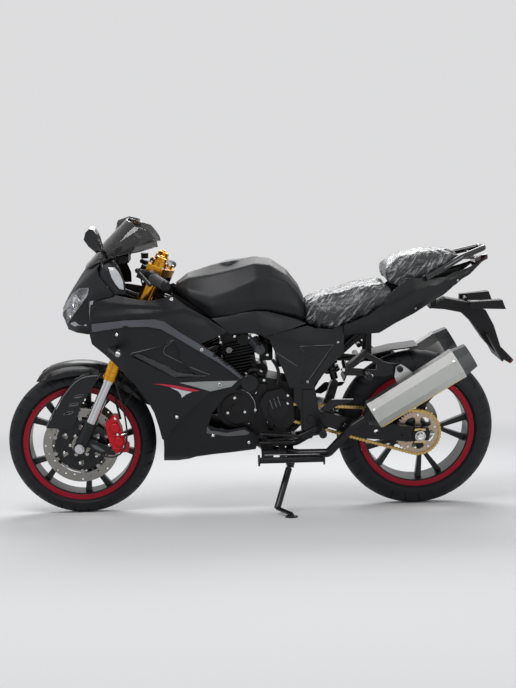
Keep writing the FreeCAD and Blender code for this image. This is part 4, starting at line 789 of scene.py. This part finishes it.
SMALL_BOLTS = (("fairing_bolts", FAIRING_BOLTS, 6.5, FAIRING, ZINC),
               ("fairing_eye", ((378, 882),), 7.5, FAIRING, ZINC),
               ("flash_bolt", ((553, 553),), 9, FAIRING, STEEL),
               ("side_cover_bolts", ((1013, 691), (892, 543)), 5.5, ("side_covers",), STEEL),
               ("tail_bolts", ((1317, 812), (1484, 915)), 5, ("tail_fairing",), STEEL))

LINE_STEP = 12


def skin_line(name, points, side, nodes, radius, finish, lift=0.6):
    """A thin round line that follows the nodes' skin through the (x, z) points."""
    tree = tree_of(*nodes)
    spots = []
    for (x0, z0), (x1, z1) in zip(points, points[1:]):
        count = max(1, int(math.hypot(x1 - x0, z1 - z0) / LINE_STEP))
        for k in range(count + (points[-1] == (x1, z1))):
            place, _ = on_skin(tree, x0 + (x1 - x0) * k / count, z0 + (z1 - z0) * k / count, side, lift)
            if place is not None:
                spots.append(place)
    for _ in range(4):
        spots[1:-1] = [Vector((q.x, (a.y + 2 * q.y + b.y) / 4, q.z)) for a, q, b in zip(spots, spots[1:], spots[2:])]
    tube(name, spots, radius, finish)


def dotted(name, loop, pitch, radius, piece, finish, side):
    """Rims of small holes in staggered rows inside the (x, z) outline, on the piece's skin."""
    mesh = piece.data
    tree = BVHTree.FromPolygons([TO_BIKE @ v.co for v in mesh.vertices], [list(p.vertices) for p in mesh.polygons])
    bm = bmesh.new()
    xs = [x for x, z in loop]
    zs = [z for x, z in loop]
    row = 0
    z = min(zs)
    while z < max(zs):
        x = min(xs) + (pitch / 2 if row % 2 else 0)
        while x < max(xs):
            if inside(loop, x, z):
                place, normal = on_skin(tree, x, z, side, 0.2)
                if place is not None:
                    lathe(bm, ((0, radius), (0.9, radius), (0.9, radius * 0.62), (0.2, radius * 0.6)), place, normal, 8)
            x += pitch
        z += pitch * 0.87
        row += 1
    keep(name, bm, finish)


def inside(loop, x, z):
    """Whether (x, z) lies in the outline."""
    odd = False
    for (x0, z0), (x1, z1) in zip(loop, loop[1:] + loop[:1]):
        if (z0 > z) != (z1 > z) and x < (x1 - x0) * (z - z0) / (z1 - z0) + x0:
            odd = not odd
    return odd


for side, where in SIDES:
    # The band's pale colour is a painted highlight on the bevel
    decal("fairing_band_painted_highlight_" + where, BAND_LOOP, BAND_PAINTED_HIGHLIGHT, FAIRING, side, 2.6, cell=9, thick=0.8, even=14)
    decal("flash_wedge_" + where, WEDGE_LOOP, FLASH_SILVER, FAIRING, side, 1.2, even=6)
    decal("flash_red_" + where, RED_LOOP, FLASH_RED, FAIRING, side, 1.6, even=6)
    decal("flash_hook_" + where, HOOK_LOOP, FLASH_WHITE, FAIRING, side, 1.4, even=6)
    strip = decal("vent_strip_" + where, STRIP_LOOP, DARK_STRIP, FAIRING, side, 2.4, cell=7, thick=0.8, even=12)
    dotted("vent_holes_" + where, STRIP_LOOP, 6.4, 2.2, strip, MESH_DOTS, side)
    # Pale lines along the vent's top and face edges: painted highlights
    skin_line("vent_top_painted_highlight_" + where, VENT_TOP, side, FAIRING, 1.6, EDGE_PAINTED_HIGHLIGHT)
    skin_line("vent_face_painted_highlight_" + where, VENT_FACE, side, FAIRING, 1.6, EDGE_PAINTED_HIGHLIGHT)
    for name, spots, radius, nodes, finish in SMALL_BOLTS:
        bolts(f"{name}_{where}", spots, radius, nodes, finish, side)


# Seats: padded under the factory's clear wrapping film
def film():
    """Clear crinkled film over black vinyl: pale streaks where its folds catch the light."""
    m = material("wrapping_film", (0.03, 0.03, 0.032), 0.3, vary=0.2, scale=20, Coat_Weight=0.2, Coat_Roughness=0.2)
    tree = m.node_tree
    link = tree.links.new
    turn = add_node(tree, "Mapping")
    turn.vector_type = "TEXTURE"
    set_inputs(turn, Rotation=(0, math.radians(-52), 0), Scale=(1 / 9, 1 / 20, 1 / 75))
    link(add_node(tree, "TexCoord").outputs["Object"], turn.inputs["Vector"])
    folds = add_node(tree, "TexNoise", Scale=1.0, Detail=5, Roughness=0.62, Distortion=0.9)
    link(turn.outputs["Vector"], folds.inputs["Vector"])
    ramp = add_node(tree, "ValToRGB")
    for stop, place, colour in zip(ramp.color_ramp.elements, (0.52, 0.66), ((0.022, 0.023, 0.025), (0.40, 0.41, 0.42))):
        stop.position = place
        stop.color = (*colour, 1)
    link(folds.outputs["Fac"], ramp.inputs["Fac"])
    shader = tree.nodes["Principled BSDF"]
    link(ramp.outputs["Color"], shader.inputs["Base Color"])
    relief = add_node(tree, "Bump", Strength=0.8, Distance=0.006)
    link(folds.outputs["Fac"], relief.inputs["Height"])
    link(relief.outputs["Normal"], shader.inputs["Normal"])
    return m


FILM = film()
# How far the padding and the folds swell, in metres; the folds' spacing in millimetres
SWELL = 0.009
CLOTH_PRESSURE = 4
CLOTH_FRAMES = 20
RUCK = 0.00182
FOLD_LENGTH, FOLD_WIDTH = 95, 17


def cushion(name, node, finish):
    """The seat's full body, swollen by cloth simulation by up to SWELL metres: it stands for the node."""
    piece = even_copy(name, node, finish, 10)
    start = [v.co.copy() for v in piece.data.vertices]
    cloth = piece.modifiers.new("cloth", "CLOTH")
    cloth.settings.use_pressure = True
    cloth.settings.uniform_pressure_force = CLOTH_PRESSURE
    cloth.settings.effector_weights.gravity = 0
    for step in range(CLOTH_FRAMES):
        bpy.context.scene.frame_set(step + 1)
    baked(piece)
    bpy.context.scene.frame_set(1)
    for v, place in zip(piece.data.vertices, start):
        swell = v.co - place
        if swell.length > SWELL:
            v.co = place + swell.normalized() * SWELL
    piece.data.shade_smooth()
    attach(piece, "chassis")
    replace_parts(piece, node)
    return piece


def rucked(piece, along, seed):
    """Pulls the film into fine folds that run along a direction of the upright bike."""
    along = Vector(along).normalized()
    across = along.cross(Vector((0, 1, 0))).normalized()
    fine = piece.modifiers.new("fine", "SUBSURF")
    fine.levels = fine.render_levels = 1
    baked(piece)
    mesh = piece.data
    normals = [n.vector.copy() for n in mesh.vertex_normals]
    for v, normal in zip(mesh.vertices, normals):
        p = TO_BIKE @ v.co
        u = p.dot(along) / FOLD_LENGTH
        w = p.dot(across) / FOLD_WIDTH
        q = Vector((u + seed, w + 1.1 * noise.noise(Vector((u * 2, p.y / 40, seed))), p.y / 60))
        ridge = 1 - abs(noise.noise(q)) * 2.6
        ridge += 0.5 * (1 - abs(noise.noise(q * 2.3)) * 2.6)
        v.co += normal * RUCK * max(0, ridge)


front_seat = cushion("front_cushion", "seat_front", FILM)
rucked(front_seat, (0.75, 0, 0.55), 3.1)
rear_seat = cushion("rear_cushion", "seat_rear", FILM)
rucked(rear_seat, (0.9, 0, 0.3), 8.4)


# Handlebar grips, end weights, switch housings' seams and red switches
GRIP_IN = Vector((316, 200, 965))
GRIP_OUT = Vector((366, 332, 953))
GRIP_LINE = (GRIP_OUT - GRIP_IN).normalized()


def at_side(p, side):
    """The point on the left (side −1) or the right (+1)."""
    return Vector((p[0], side * abs(p[1]), p[2]))


for side, where in SIDES:
    start = at_side(GRIP_IN + GRIP_LINE * 2, side)
    line = at_side(GRIP_OUT, side) - at_side(GRIP_IN, side)
    ribs = [(0, 17.2), (0, 22), (3, 22.5), (6, 21), (7, 18.6)]
    for k in range(14):
        ribs += [(9 + 8 * k, 18.8), (13.5 + 8 * k, 18.8), (14.2 + 8 * k, 17.9), (16.2 + 8 * k, 17.9)]
    ribs += [(122, 18.9), (128, 19.3), (130, 18.5), (130, 15)]
    turned("grip_" + where, ribs, start, line, GREY_RUBBER, "front_fork", 40)
    cap = ((129, 15.2), (137, 15.4), (141, 14), (141, 6), (138, 5), (138, 0))
    turned("bar_weight_" + where, cap, start, line, SATIN_BLACK, "front_fork", 32)
    block = start - line.normalized() * 28
    turned("switch_" + where, ((20, 4), (26, 4), (27, 3), (27, 0)), block + Vector((-4, 0, 0)), (0.35, 0, 0.94),
           RED_PAINT, "front_fork", 20)
    ring = ((-1, 23.4), (1, 23.9), (3, 23.9), (5, 23.4))
    turned("switch_seam_" + where, ring, block, line, GLOSS_BLACK, "front_fork", 32)

# Headlamps: bright bowls with a projector and a side light behind the clear lens
for side, where in SIDES:
    for index, (x, y, z, r) in enumerate(((6, 92, 868, 26), (-14, 74, 818, 17))):
        aim = Vector((-0.86, side * 0.5, 0.06))
        bowl = ((0, r + 4), (0, r), (-5, r * 0.9), (-14, r * 0.6), (-20, r * 0.25), (-21, 0))
        turned(f"lamp_bowl_{where}_{index}", bowl, (x, side * y, z), aim, CHROME, "chassis", 40)
        glass = ((-18, r * 0.5), (-8, r * 0.5), (-4, r * 0.42), (-2, r * 0.25), (-1.4, 0))
        turned(f"lamp_eye_{where}_{index}", glass, (x, side * y, z), aim, CLEAR, "chassis", 32)

# Mufflers: rivets near both ends
# Brass of the adjuster plates, also used for a painted reflection along the mufflers' low side
GOLD_LINE = material("brass_and_painted_reflection", (0.72, 0.55, 0.26), 0.2, 1.0, vary=0.1, scale=40)
for side, where in SIDES:
    spots = []
    for along in (14, MUFFLER_LENGTH - 14):
        for up in (-26, 26):
            p = MUFFLER_FOOT + MUFFLER_LINE * along + MUFFLER_RISE * up
            spots.append((p.x, p.z))
    bolts("muffler_rivets_" + where, spots, 4.5, ("mufflers",), STEEL, side)

# Front axle: nuts and wide washers
for side, where in SIDES:
    nut = ((0, 16), (4, 16), (6, 14), (6, 8), (3, 7), (3, 0))
    turned("front_nut_" + where, nut, (0, side * 134, FRONT_R), (0, side, 0), CHROME, "front_fork", 6)
    wide = ((0, 19), (2, 19.5), (4, 18), (4, 12))
    turned("front_washer_" + where, wide, (0, side * 131, FRONT_R), (0, side, 0), STEEL, "front_fork", 40)

# Drive chain: plates, rollers and pins on the loop round both sprockets
PINION = Vector((790, -92, 418))
SPROCKET = Vector((WHEELBASE, -92, REAR_Z))
PINION_R, SPROCKET_R = 28.5, 87.0
PITCH = 12.7
LINK_END, LINK_WAIST, LINK_PLATE = 6.3, 3.9, 1.7
INNER_AT, OUTER_AT = 3.4, 5.4


def loop_points():
    """Pin centres, one chain pitch apart, from the top run's front end round the rear sprocket and back."""
    span = SPROCKET - PINION
    reach = math.hypot(span.x, span.z)
    slope = math.atan2(span.z, span.x)
    lean = math.asin((SPROCKET_R - PINION_R) / reach)
    straight = math.sqrt(reach ** 2 - (SPROCKET_R - PINION_R) ** 2)
    top_turn = slope + math.pi / 2 + lean
    low_turn = slope - math.pi / 2 - lean
    rear_arc = top_turn - low_turn
    front_arc = 2 * math.pi - rear_arc
    whole = 2 * straight + rear_arc * SPROCKET_R + front_arc * PINION_R
    count = 2 * round(whole / PITCH / 2)

    def rim(hub, r, turn):
        return hub + Vector((math.cos(turn), 0, math.sin(turn))) * r

    top_ends = rim(PINION, PINION_R, top_turn), rim(SPROCKET, SPROCKET_R, top_turn)
    low_ends = rim(SPROCKET, SPROCKET_R, low_turn), rim(PINION, PINION_R, low_turn)
    points = []
    for k in range(count):
        s = whole * k / count
        on_low = s - straight - rear_arc * SPROCKET_R
        if s < straight:
            points.append(top_ends[0].lerp(top_ends[1], s / straight))
        elif on_low < 0:
            points.append(rim(SPROCKET, SPROCKET_R, top_turn - (s - straight) / SPROCKET_R))
        elif on_low < straight:
            points.append(low_ends[0].lerp(low_ends[1], on_low / straight))
        else:
            points.append(rim(PINION, PINION_R, low_turn - (on_low - straight) / PINION_R))
    return points


def side_plate(bm, a, b, y0, y1):
    """Figure-of-eight plate from pin a to pin b."""
    line = (b - a).normalized()
    up = Vector((-line.z, 0, line.x))
    outline = []
    for hub, base in ((b, 0), (a, math.pi)):
        for k in range(7):
            turn = base - math.radians(78) + math.radians(156) * k / 6
            outline.append(hub + line * (LINK_END * math.cos(turn)) + up * (LINK_END * math.sin(turn)))
        outline.append((a + b) / 2 + up * (LINK_WAIST if base == 0 else -LINK_WAIST))
    low = [bm.verts.new((p.x, y0, p.z)) for p in outline]
    high = [bm.verts.new((p.x, y1, p.z)) for p in outline]
    bm.faces.new(low)
    bm.faces.new(high)
    bridge(bm, low, high)


def chain():
    """Outer and inner plates in turn, with a roller on each pin."""
    pins = loop_points()
    links = bmesh.new()
    rollers = bmesh.new()
    for k, a in enumerate(pins):
        b = pins[(k + 1) % len(pins)]
        for side in (-1, 1):
            near = INNER_AT if k % 2 else OUTER_AT
            ends = sorted((a.y + side * near, a.y + side * (near + LINK_PLATE)))
            side_plate(links, a, b, *ends)
        lathe(rollers, ((-7.5, 0), (-7.5, 1.9), (-3.3, 1.9), (-3.3, 3.9), (3.3, 3.9), (3.3, 1.9), (7.5, 1.9), (7.5, 0)),
              a, (0, 1, 0), 10)
    for bm in (links, rollers):
        bmesh.ops.recalc_face_normals(bm, faces=bm.faces)
    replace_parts(keep("chain_plates", links, CHAIN_GOLD), "chain")
    keep("chain_rollers", rollers, STEEL)


chain()

TEETH, PER_TOOTH = 43, 6
ROOT_R, TOOTH = 82, 9
WINDOW_R, WINDOW_HALF, WINDOW_TURN = 50.5, 16, math.radians(25)
SPROCKET_PLATE = 6


def sprocket():
    """Toothed ring on a hub with five kidney-shaped windows."""
    bm = bmesh.new()
    steps = TEETH * PER_TOOTH
    turns = [2 * math.pi * k / steps for k in range(steps)]
    radii = (22, 30, 34, 36, 39, 43, 48, 53, 58, 62, 65, 67, 72, 78, ROOT_R)
    rings = [[(r, turn) for turn in turns] for r in radii]
    tips = []
    for k, turn in enumerate(turns):
        beat = (k % PER_TOOTH) / PER_TOOTH
        swell = math.sin(math.pi * min(1, max(0, (beat - 0.1) / 0.8)))
        tips.append((ROOT_R + TOOTH * max(0.0, swell) ** 1.3, turn))
    rings.append(tips)

    def open_at(r, a):
        a = (a % (2 * math.pi / 5)) - math.pi / 5
        return abs((r - WINDOW_R) / WINDOW_HALF) ** 3 + abs(a / WINDOW_TURN) ** 3 < 1

    verts = []
    for ring in rings:
        row = []
        for r, a in ring:
            near = SPROCKET.y - SPROCKET_PLATE / 2
            row.append(bm.verts.new((SPROCKET.x + r * math.sin(a), near, SPROCKET.z + r * math.cos(a))))
        verts.append(row)
    for i in range(len(rings) - 1):
        for k in range(steps):
            n = (k + 1) % steps
            middle = (rings[i][k][0] + rings[i + 1][k][0]) / 2
            if not open_at(middle, rings[i][k][1] + math.pi / steps):
                bm.faces.new((verts[i][k], verts[i][n], verts[i + 1][n], verts[i + 1][k]))
    loose = [v for v in bm.verts if not v.link_faces]
    bmesh.ops.delete(bm, geom=loose, context="VERTS")
    thicken(bm, SPROCKET_PLATE)
    bmesh.ops.recalc_face_normals(bm, faces=bm.faces)
    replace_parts(keep("sprocket_plate", bm, COPPERY, "rear_wheel"), "rear_sprocket")
    nut = ((0, 6), (3, 6), (4, 5), (4, 0))
    ring_of("sprocket_nuts", 5, 0.25, 70, nut, 12, (SPROCKET.x, -95, SPROCKET.z), -1, ZINC, "rear_wheel")


sprocket()


# Front brake: torque arm, piston covers, ribs, bolts and hoses
def bar_between(name, a, b, radius, finish, body="chassis"):
    """A round bar from a to b with eased ends."""
    a, b = Vector(a), Vector(b)
    long = (b - a).length
    profile = ((0, 0), (0, radius * 0.85), (radius * 0.15, radius), (long - radius * 0.15, radius),
               (long, radius * 0.85), (long, 0))
    turned(name, profile, a, b - a, finish, body, 20)


def sheet_of(name, loop, y0, y1, finish, body="chassis", bevel=1.2):
    """A plate with the (x, z) outline from y0 to y1, its edges rounded."""
    bm = bmesh.new()
    near = [bm.verts.new((x, y0, z)) for x, z in loop]
    far = [bm.verts.new((x, y1, z)) for x, z in loop]
    bm.faces.new(near)
    bm.faces.new(far)
    bridge(bm, near, far)
    bmesh.ops.recalc_face_normals(bm, faces=bm.faces)
    rounded(keep(name, bm, finish, body), bevel, 30)


def side_sheet(name, loop, inner, outer, side, finish, bevel):
    """A chassis plate between two distances from the middle, on one side."""
    low, high = sorted((side * inner, side * outer))
    sheet_of(name, loop, low, high, finish, "chassis", bevel)


def heads(name, spots, radius, finish, side, body="chassis"):
    """Hexagon-socket heads at given (x, y, z) places, y counted outwards."""
    bm = bmesh.new()
    rim = ((-3, radius), (0.5 * radius, radius), (0.7 * radius, 0.8 * radius), (0.7 * radius, 0.5 * radius))
    socket = ((0.7 * radius, 0.5 * radius), (0.2 * radius, 0.45 * radius), (0.2 * radius, 0))
    for x, y, z in spots:
        lathe(bm, rim, (x, side * y, z), (0, side, 0), 20)
        lathe(bm, socket, (x, side * y, z), (0, side, 0), 6)
    bmesh.ops.remove_doubles(bm, verts=bm.verts, dist=0.01)
    keep(name, bm, finish, body)


ARM_LOOP = [(12, 330), (44, 320), (104, 285), (138, 268), (134, 258), (96, 262), (46, 284), (12, 300)]
ARM_WINDOW = [(40, 306), (62, 300), (98, 276), (84, 274), (56, 287)]
BRAKE_HOSE = [(146, 559), (162, 504), (179, 430), (186, 365), (184, 310), (163, 262), (122, 247), (84, 262)]
sheet_of("caliper_arm", ARM_LOOP, -104, -96, SATIN_BLACK, "front_fork", 1.6)
# Pale painted highlight on the arm's step
sheet_of("caliper_arm_step_painted_highlight", ARM_WINDOW, -105.4, -103.5, EDGE_PAINTED_HIGHLIGHT, "front_fork", 0.6)
for index, (x, z) in enumerate(((139, 368), (153, 312))):
    dome = ((0, 19), (3, 18.6), (5.5, 16), (6.2, 11), (6.2, 8.5), (5, 8), (5, 0))
    turned(f"caliper_piston_{index}", dome, (x, -106, z), (0, -1, 0), RED_PAINT, "front_fork", 36)
for index, (a, b) in enumerate((((120, 340), (166, 334)), ((124, 396), (150, 394)), ((128, 284), (182, 282)))):
    bar_between(f"caliper_rib_{index}", (a[0], -104.5, a[1]), (b[0], -104.5, b[1]), 3.2, RED_PAINT, "front_fork")
heads("caliper_bolts", ((113, 104, 300), (172, 105, 290), (141, 105, 405), (148, 108, 342)), 5.5, ZINC, -1,
      "front_fork")
cone = ((0, 6), (3, 6), (3, 4.4), (20, 1.6), (20, 0))
turned("bleed_nipple", cone, (163, -100, 338), (0.95, 0, 0.3), ZINC, "front_fork", 16)
tube("front_hose", [(x, -114, z) for x, z in BRAKE_HOSE], 3.4, RUBBER, "front_fork")
tube("sensor_cable", ((232, -70, 528), (214, -84, 505), (190, -98, 478), (178, -108, 455)), 2.6, RUBBER, "front_fork")
STUD_TURNS = (0.4, 1.45, 2.5, 3.55, 4.6, 5.6)
STUDS = [(74 * math.cos(a), DISC_FACE, FRONT_R + 74 * math.sin(a)) for a in STUD_TURNS]
for side, where in SIDES:
    heads("carrier_studs_" + where, STUDS, 5.5, ZINC, side, "front_wheel")

# Front mudguard: a pale line along the bevelled edge of each cheek, a painted highlight
CHEEK_EDGE = [(-131, 374), (-97, 443), (-66, 487), (-35, 524), (-7, 556), (30, 573), (79, 573)]
for side, where in SIDES:
    tube("mudguard_edge_painted_highlight_" + where, [(x, side * 78.5, z) for x, z in CHEEK_EDGE], 3.0, EDGE_PAINTED_HIGHLIGHT, "front_fork")

# Cockpit: foil-wrapped inner panel with its dark rim, fork rings and caps, clamp bolts, ignition and cables
FOIL = material("crumpled_foil", (0.62, 0.63, 0.65), 0.22, 0.7, vary=0.2, scale=25, bump=1.0, bump_scale=55)
FOIL_LOOP = [(142, 1004), (166, 1004), (184, 984), (198, 954), (200, 922), (184, 925), (168, 944), (154, 967)]
RIM_LINE = [(124, 1028), (118, 1010), (119, 992), (130, 968), (142, 949), (160, 928), (180, 912), (204, 905)]
for side, where in SIDES:
    decal("cockpit_foil_" + where, FOIL_LOOP, FOIL, ("cockpit_trims",), side, 1.6, cell=5, thick=0.6)
    skin = tree_of("cockpit_trims", "nose_fairing", "side_fairings")
    rim = [on_skin(skin, x, z, side, 1.5)[0] for x, z in RIM_LINE]
    tube("cockpit_rim_" + where, [p for p in rim if p is not None], 2.6, GLOSS_BLACK)


def on_leg(up, y, back):
    """Point at a height up the fork leg's line, y aside and back behind it."""
    rise = up * math.cos(RAKE) - back * math.sin(RAKE)
    return Vector((up * math.sin(RAKE) + back * math.cos(RAKE), y, FRONT_R + rise))


UP_FORK = on_leg(1, 0, 0) - on_leg(0, 0, 0)
for side, where in SIDES:
    ring = ((0, 20), (3, 20), (4, 18), (4, 9), (9, 8.5), (10, 6), (10, 0))
    turned("fork_cap_" + where, ring, on_leg(812, side * 98, 0), UP_FORK, GOLD, "front_fork", 32)
    for k, up in enumerate((300, 308, 330, 352, 360)):
        band = ((-2, 28), (-1.4, 29.2), (1.4, 29.2), (2, 28))
        turned(f"fork_ring_{where}_{k}", band, on_leg(up, side * 98, 0), UP_FORK, GOLD, "front_fork", 40)
    spots = [on_leg(778, side * 60, -30), on_leg(778, side * 60, 34), on_leg(778, side * 122, 18)]
    for k, spot in enumerate(spots):
        head = ((-1, 6), (4, 6), (5, 5), (5, 3), (2, 3), (2, 0))
        turned(f"clamp_bolt_{where}_{k}", head, spot, UP_FORK, ZINC, "front_fork", 12)
nut = ((0, 22), (4, 22), (6, 19), (6, 12), (9, 11.5), (9, 0))
turned("stem_nut", nut, on_leg(788, 0, 35), UP_FORK, CHROME, "front_fork", 36)
lock = ((0, 17), (26, 17), (28, 15.5), (28, 12), (26, 11.5), (26, 0))
turned("ignition_lock", lock, on_leg(778, 0, -4), UP_FORK, CHROME, "front_fork", 36)
CLUTCH = [(262, -176, 1000), (256, -156, 998), (262, -130, 965), (268, -102, 922), (272, -84, 895)]
tube("clutch_cable", CLUTCH, 3.0, RUBBER, "front_fork")
SWITCH_CABLE = [(300, -168, 968), (282, -150, 955), (268, -118, 940), (262, -84, 905)]
tube("switch_cable", SWITCH_CABLE, 3.2, RUBBER, "front_fork")
RESERVOIR = ((0, 15), (16, 15), (17, 16), (21, 16), (22, 14), (22, 0))
turned("fluid_cup", RESERVOIR, (262, 176, 1000), (0, 0, 1), BLACK_PLASTIC, "front_fork", 32)

# Windscreen: row of small bright studs along the crease
STUD_LINE = ((147, 1060), (161, 1068), (175, 1075), (188, 1081), (201, 1087), (216, 1093), (230, 1099), (243, 1105),
             (256, 1111))
for side, where in SIDES:
    bolts("screen_studs_" + where, STUD_LINE, 2.6, ("windscreen",), ZINC, side)

# Front signals: steel ends on a black seat
for side, where in SIDES:
    seat = ((-3, 15), (0, 16.5), (3, 16.5), (4, 13))
    tip = Vector((177, side * 291, 698))
    aim = Vector((26, side * 60, -4))
    turned("signal_seat_" + where, seat, tip - aim.normalized() * 3, aim, GLOSS_BLACK, "chassis", 32)
    dome = ((0, 12), (5, 11.4), (9, 9), (11.5, 5), (12.5, 0))
    turned("signal_dome_" + where, dome, tip, aim, STEEL, "chassis", 32)

# Engine: cover bolts, rims and vents, hoses, throttle body and its clamps
ENGINE = ("engine_covers", "crankcase", "sprocket_cover", "cylinder_head")
bolts("engine_bolts_left", ((609, 482), (581, 423), (647, 425), (691, 495), (726, 538), (538, 388), (688, 430),
                            (816, 484), (814, 452), (735, 376), (660, 372)), 6.0, ENGINE, ZINC, -1)
bolts("engine_bolts_right", ((609, 482), (581, 423), (647, 425), (691, 495), (726, 538), (718, 400), (852, 455)), 6.0,
      ENGINE, ZINC, 1)
engine_tree = tree_of(*ENGINE)
for side, where in SIDES:
    # Pale slashes along the cover's vents: painted highlights on their edges
    for k, (x, z) in enumerate(((746, 468), (761, 474), (776, 480))):
        ends = [on_skin(engine_tree, x + dx, z + dz, side, 0.6)[0] for dx, dz in ((0, 0), (5, -17), (10, -34))]
        if None not in ends:
            tube(f"vent_slash_{where}_{k}", ends, 2.2, EDGE_PAINTED_HIGHLIGHT)
    arc = []
    for k in range(15):
        a = math.radians(96 - 8 * k)
        arc.append(on_skin(engine_tree, 615 + 74 * math.cos(a), 440 + 74 * math.sin(a), side, 1.5)[0])
    arc = [p for p in arc if p is not None]
    tube("cover_rim_" + where, arc, 1.6, ALLOY)
    cap = ((0, 35), (3, 35), (6, 32), (7, 24), (6, 20), (6, 0))
    hit = on_skin(engine_tree, 668, 535, side, 0)[0]
    if hit is not None:
        turned("starter_cap_" + where, cap, hit, (0, side, 0), SATIN_BLACK, "chassis", 48)
THROTTLE = material("throttle_body", (0.085, 0.09, 0.10), 0.4, 0.4, vary=0.3, scale=30, bump=0.2, bump_scale=1200)
body = ((0, 20), (4, 24), (16, 24), (18, 21), (40, 21), (42, 25), (50, 25), (54, 20), (54, 0))
turned("throttle_body", body, (682, -62, 702), (0.55, -0.25, -0.79), THROTTLE, "chassis", 32)
turned("throttle_drum", ((0, 20), (8, 20), (9, 18), (9, 8), (12, 7), (12, 0)), (712, -92, 664), (0, -1, 0), THROTTLE,
       "chassis", 36)
turned("head_plug", ((0, 13), (6, 13), (8, 11), (8, 6), (6, 5), (6, 0)), (592, -66, 660), (0, -1, 0), ALLOY,
       "chassis", 32)
heads("head_bolts", ((615, 68, 714), (560, 62, 690), (668, 64, 706), (700, 84, 622), (740, 94, 642)), 6.0, ZINC, -1)
tube("throttle_cable", ((712, -104, 680), (702, -112, 712), (660, -112, 728), (600, -104, 742)), 3.0, RUBBER)
tube("coolant_hose", ((650, -96, 552), (656, -108, 574), (672, -114, 590), (700, -108, 588), (732, -92, 574)), 7.5,
     BLACK_PLASTIC)
tube("breather_hose", ((760, -90, 620), (782, -104, 596), (790, -108, 560), (776, -100, 524)), 6.5, RUBBER)
for k, (x, z) in enumerate(((655, 574), (714, 581))):
    clip = ((-3, 8.4), (3, 8.4), (3, 9.2), (-3, 9.2), (-3, 8.4))
    turned(f"hose_clip_{k}", clip, (x, -107, z), (0.5, 0.1, 0.85), STEEL, "chassis", 28)

# Belly opening: pale inner wedges at its lower corner, painted highlights
WEDGE = [(500, 380), (512, 362), (576, 350), (642, 361), (664, 346), (652, 338), (576, 336), (496, 352)]
for side, where in SIDES:
    decal("belly_wedge_painted_highlight_" + where, WEDGE, EDGE_PAINTED_HIGHLIGHT, ("belly_fairing",), side, 1.0, cell=8, even=4)

# Side cover: pale edge of its V-shaped inset, a painted highlight, and the pillion bracket's bolts
V_LINES = (((863, 683), (930, 683), (994, 682)), ((994, 682), (950, 622), (897, 549)),
           ((764, 668), (806, 638), (850, 608)))
for side, where in SIDES:
    for k, line in enumerate(V_LINES):
        skin_line(f"cover_line_{where}_{k}", line, side, ("side_covers",), 1.4, EDGE_PAINTED_HIGHLIGHT, 0.9)
    bolts("bracket_bolts_" + where, ((1031, 586), (1099, 650), (1140, 560)), 7, ("pillion_pegs", "subframe"), ZINC,
          side)

# Mufflers: a gold line low on each side, a painted reflection, and the hanger's rubber bush
for side, where in SIDES:
    low = -MUFFLER_RISE * 55
    a = at_side(MUFFLER_FOOT + MUFFLER_LINE * 8 + low, side) + Vector((0, side * 24, 0))
    b = at_side(MUFFLER_FOOT + MUFFLER_LINE * (MUFFLER_LENGTH - 6) + low, side) + Vector((0, side * 24, 0))
    bar_between("muffler_painted_reflection_" + where, a, b, 2.6, GOLD_LINE)
    bolts("hanger_bush_" + where, ((1246, 589),), 12, ("mufflers",), RUBBER, side)

# Shade plates behind the joints of the tank with the fairing and the mid covers
JOINT_LOOP = [(374, 896), (440, 860), (505, 824), (600, 760), (600, 730), (540, 730), (470, 780), (400, 840),
              (374, 868)]
COVER_LOOP = [(770, 776), (880, 764), (880, 822), (770, 826)]
for side, where in SIDES:
    side_sheet("joint_shade_" + where, JOINT_LOOP, 104.0, 106.0, side, BLACK_PLASTIC, 0.5)
    side_sheet("cover_shade_" + where, COVER_LOOP, 60.0, 62.0, side, BLACK_PLASTIC, 0.5)

# Rear hub: axle nut, washer, adjuster plates and their screws
for side, where in SIDES:
    nut = ((0, 16), (10, 16), (12, 14), (12, 8), (9, 7), (9, 0))
    turned("rear_nut_" + where, nut, (WHEELBASE, side * 158, REAR_Z), (0, side, 0), ZINC, "chassis", 6)
    wide = ((0, 21), (2.5, 21), (3, 20), (3, 12))
    turned("rear_washer_" + where, wide, (WHEELBASE, side * 155.5, REAR_Z), (0, side, 0), STEEL, "chassis", 40)
    for k, z in enumerate((REAR_Z + 24, REAR_Z - 24)):
        plate = [(1306, z - 5), (1354, z - 5), (1350, z + 5), (1310, z + 5)]
        side_sheet(f"adjuster_plate_{where}_{k}", plate, 141.0, 149.0, side, GOLD_LINE, 1.5)
    bar_between("adjuster_screw_" + where, (1356, side * 128, REAR_Z), (1392, side * 128, REAR_Z), 4, ZINC)

# Undertray between the side covers and the tail, heel plates with a silver edge, and a bright line along the low bar, a
# painted highlight
TRAY = [(1000, 714), (1176, 724), (1138, 700), (1090, 672), (1050, 640), (1000, 596), (962, 548), (938, 560),
        (950, 650), (982, 702)]
HEEL = [(933, 428), (984, 473), (1070, 472), (1055, 456), (1009, 446), (969, 424)]
sheet_of("undertray", TRAY, -56, 56, BLACK_PLASTIC, "chassis", 4)
for side, where in SIDES:
    side_sheet("heel_plate_" + where, HEEL, 152.0, 156.0, side, SATIN_BLACK, 1.5)
    line = [(984, side * 156.4, 472), (1028, side * 156.4, 471.5), (1068, side * 156.4, 471)]
    tube("heel_edge_" + where, line, 1.6, ZINC)
    bar_between("heel_stay_" + where, (965, side * 146, 440), (965, side * 153, 440), 6, FRAME_BLACK)
    # Painted highlight along the low bar
    bar_between("low_bar_line_" + where, (716, side * 252, 283), (928, side * 252, 281), 1.6, ALLOY)
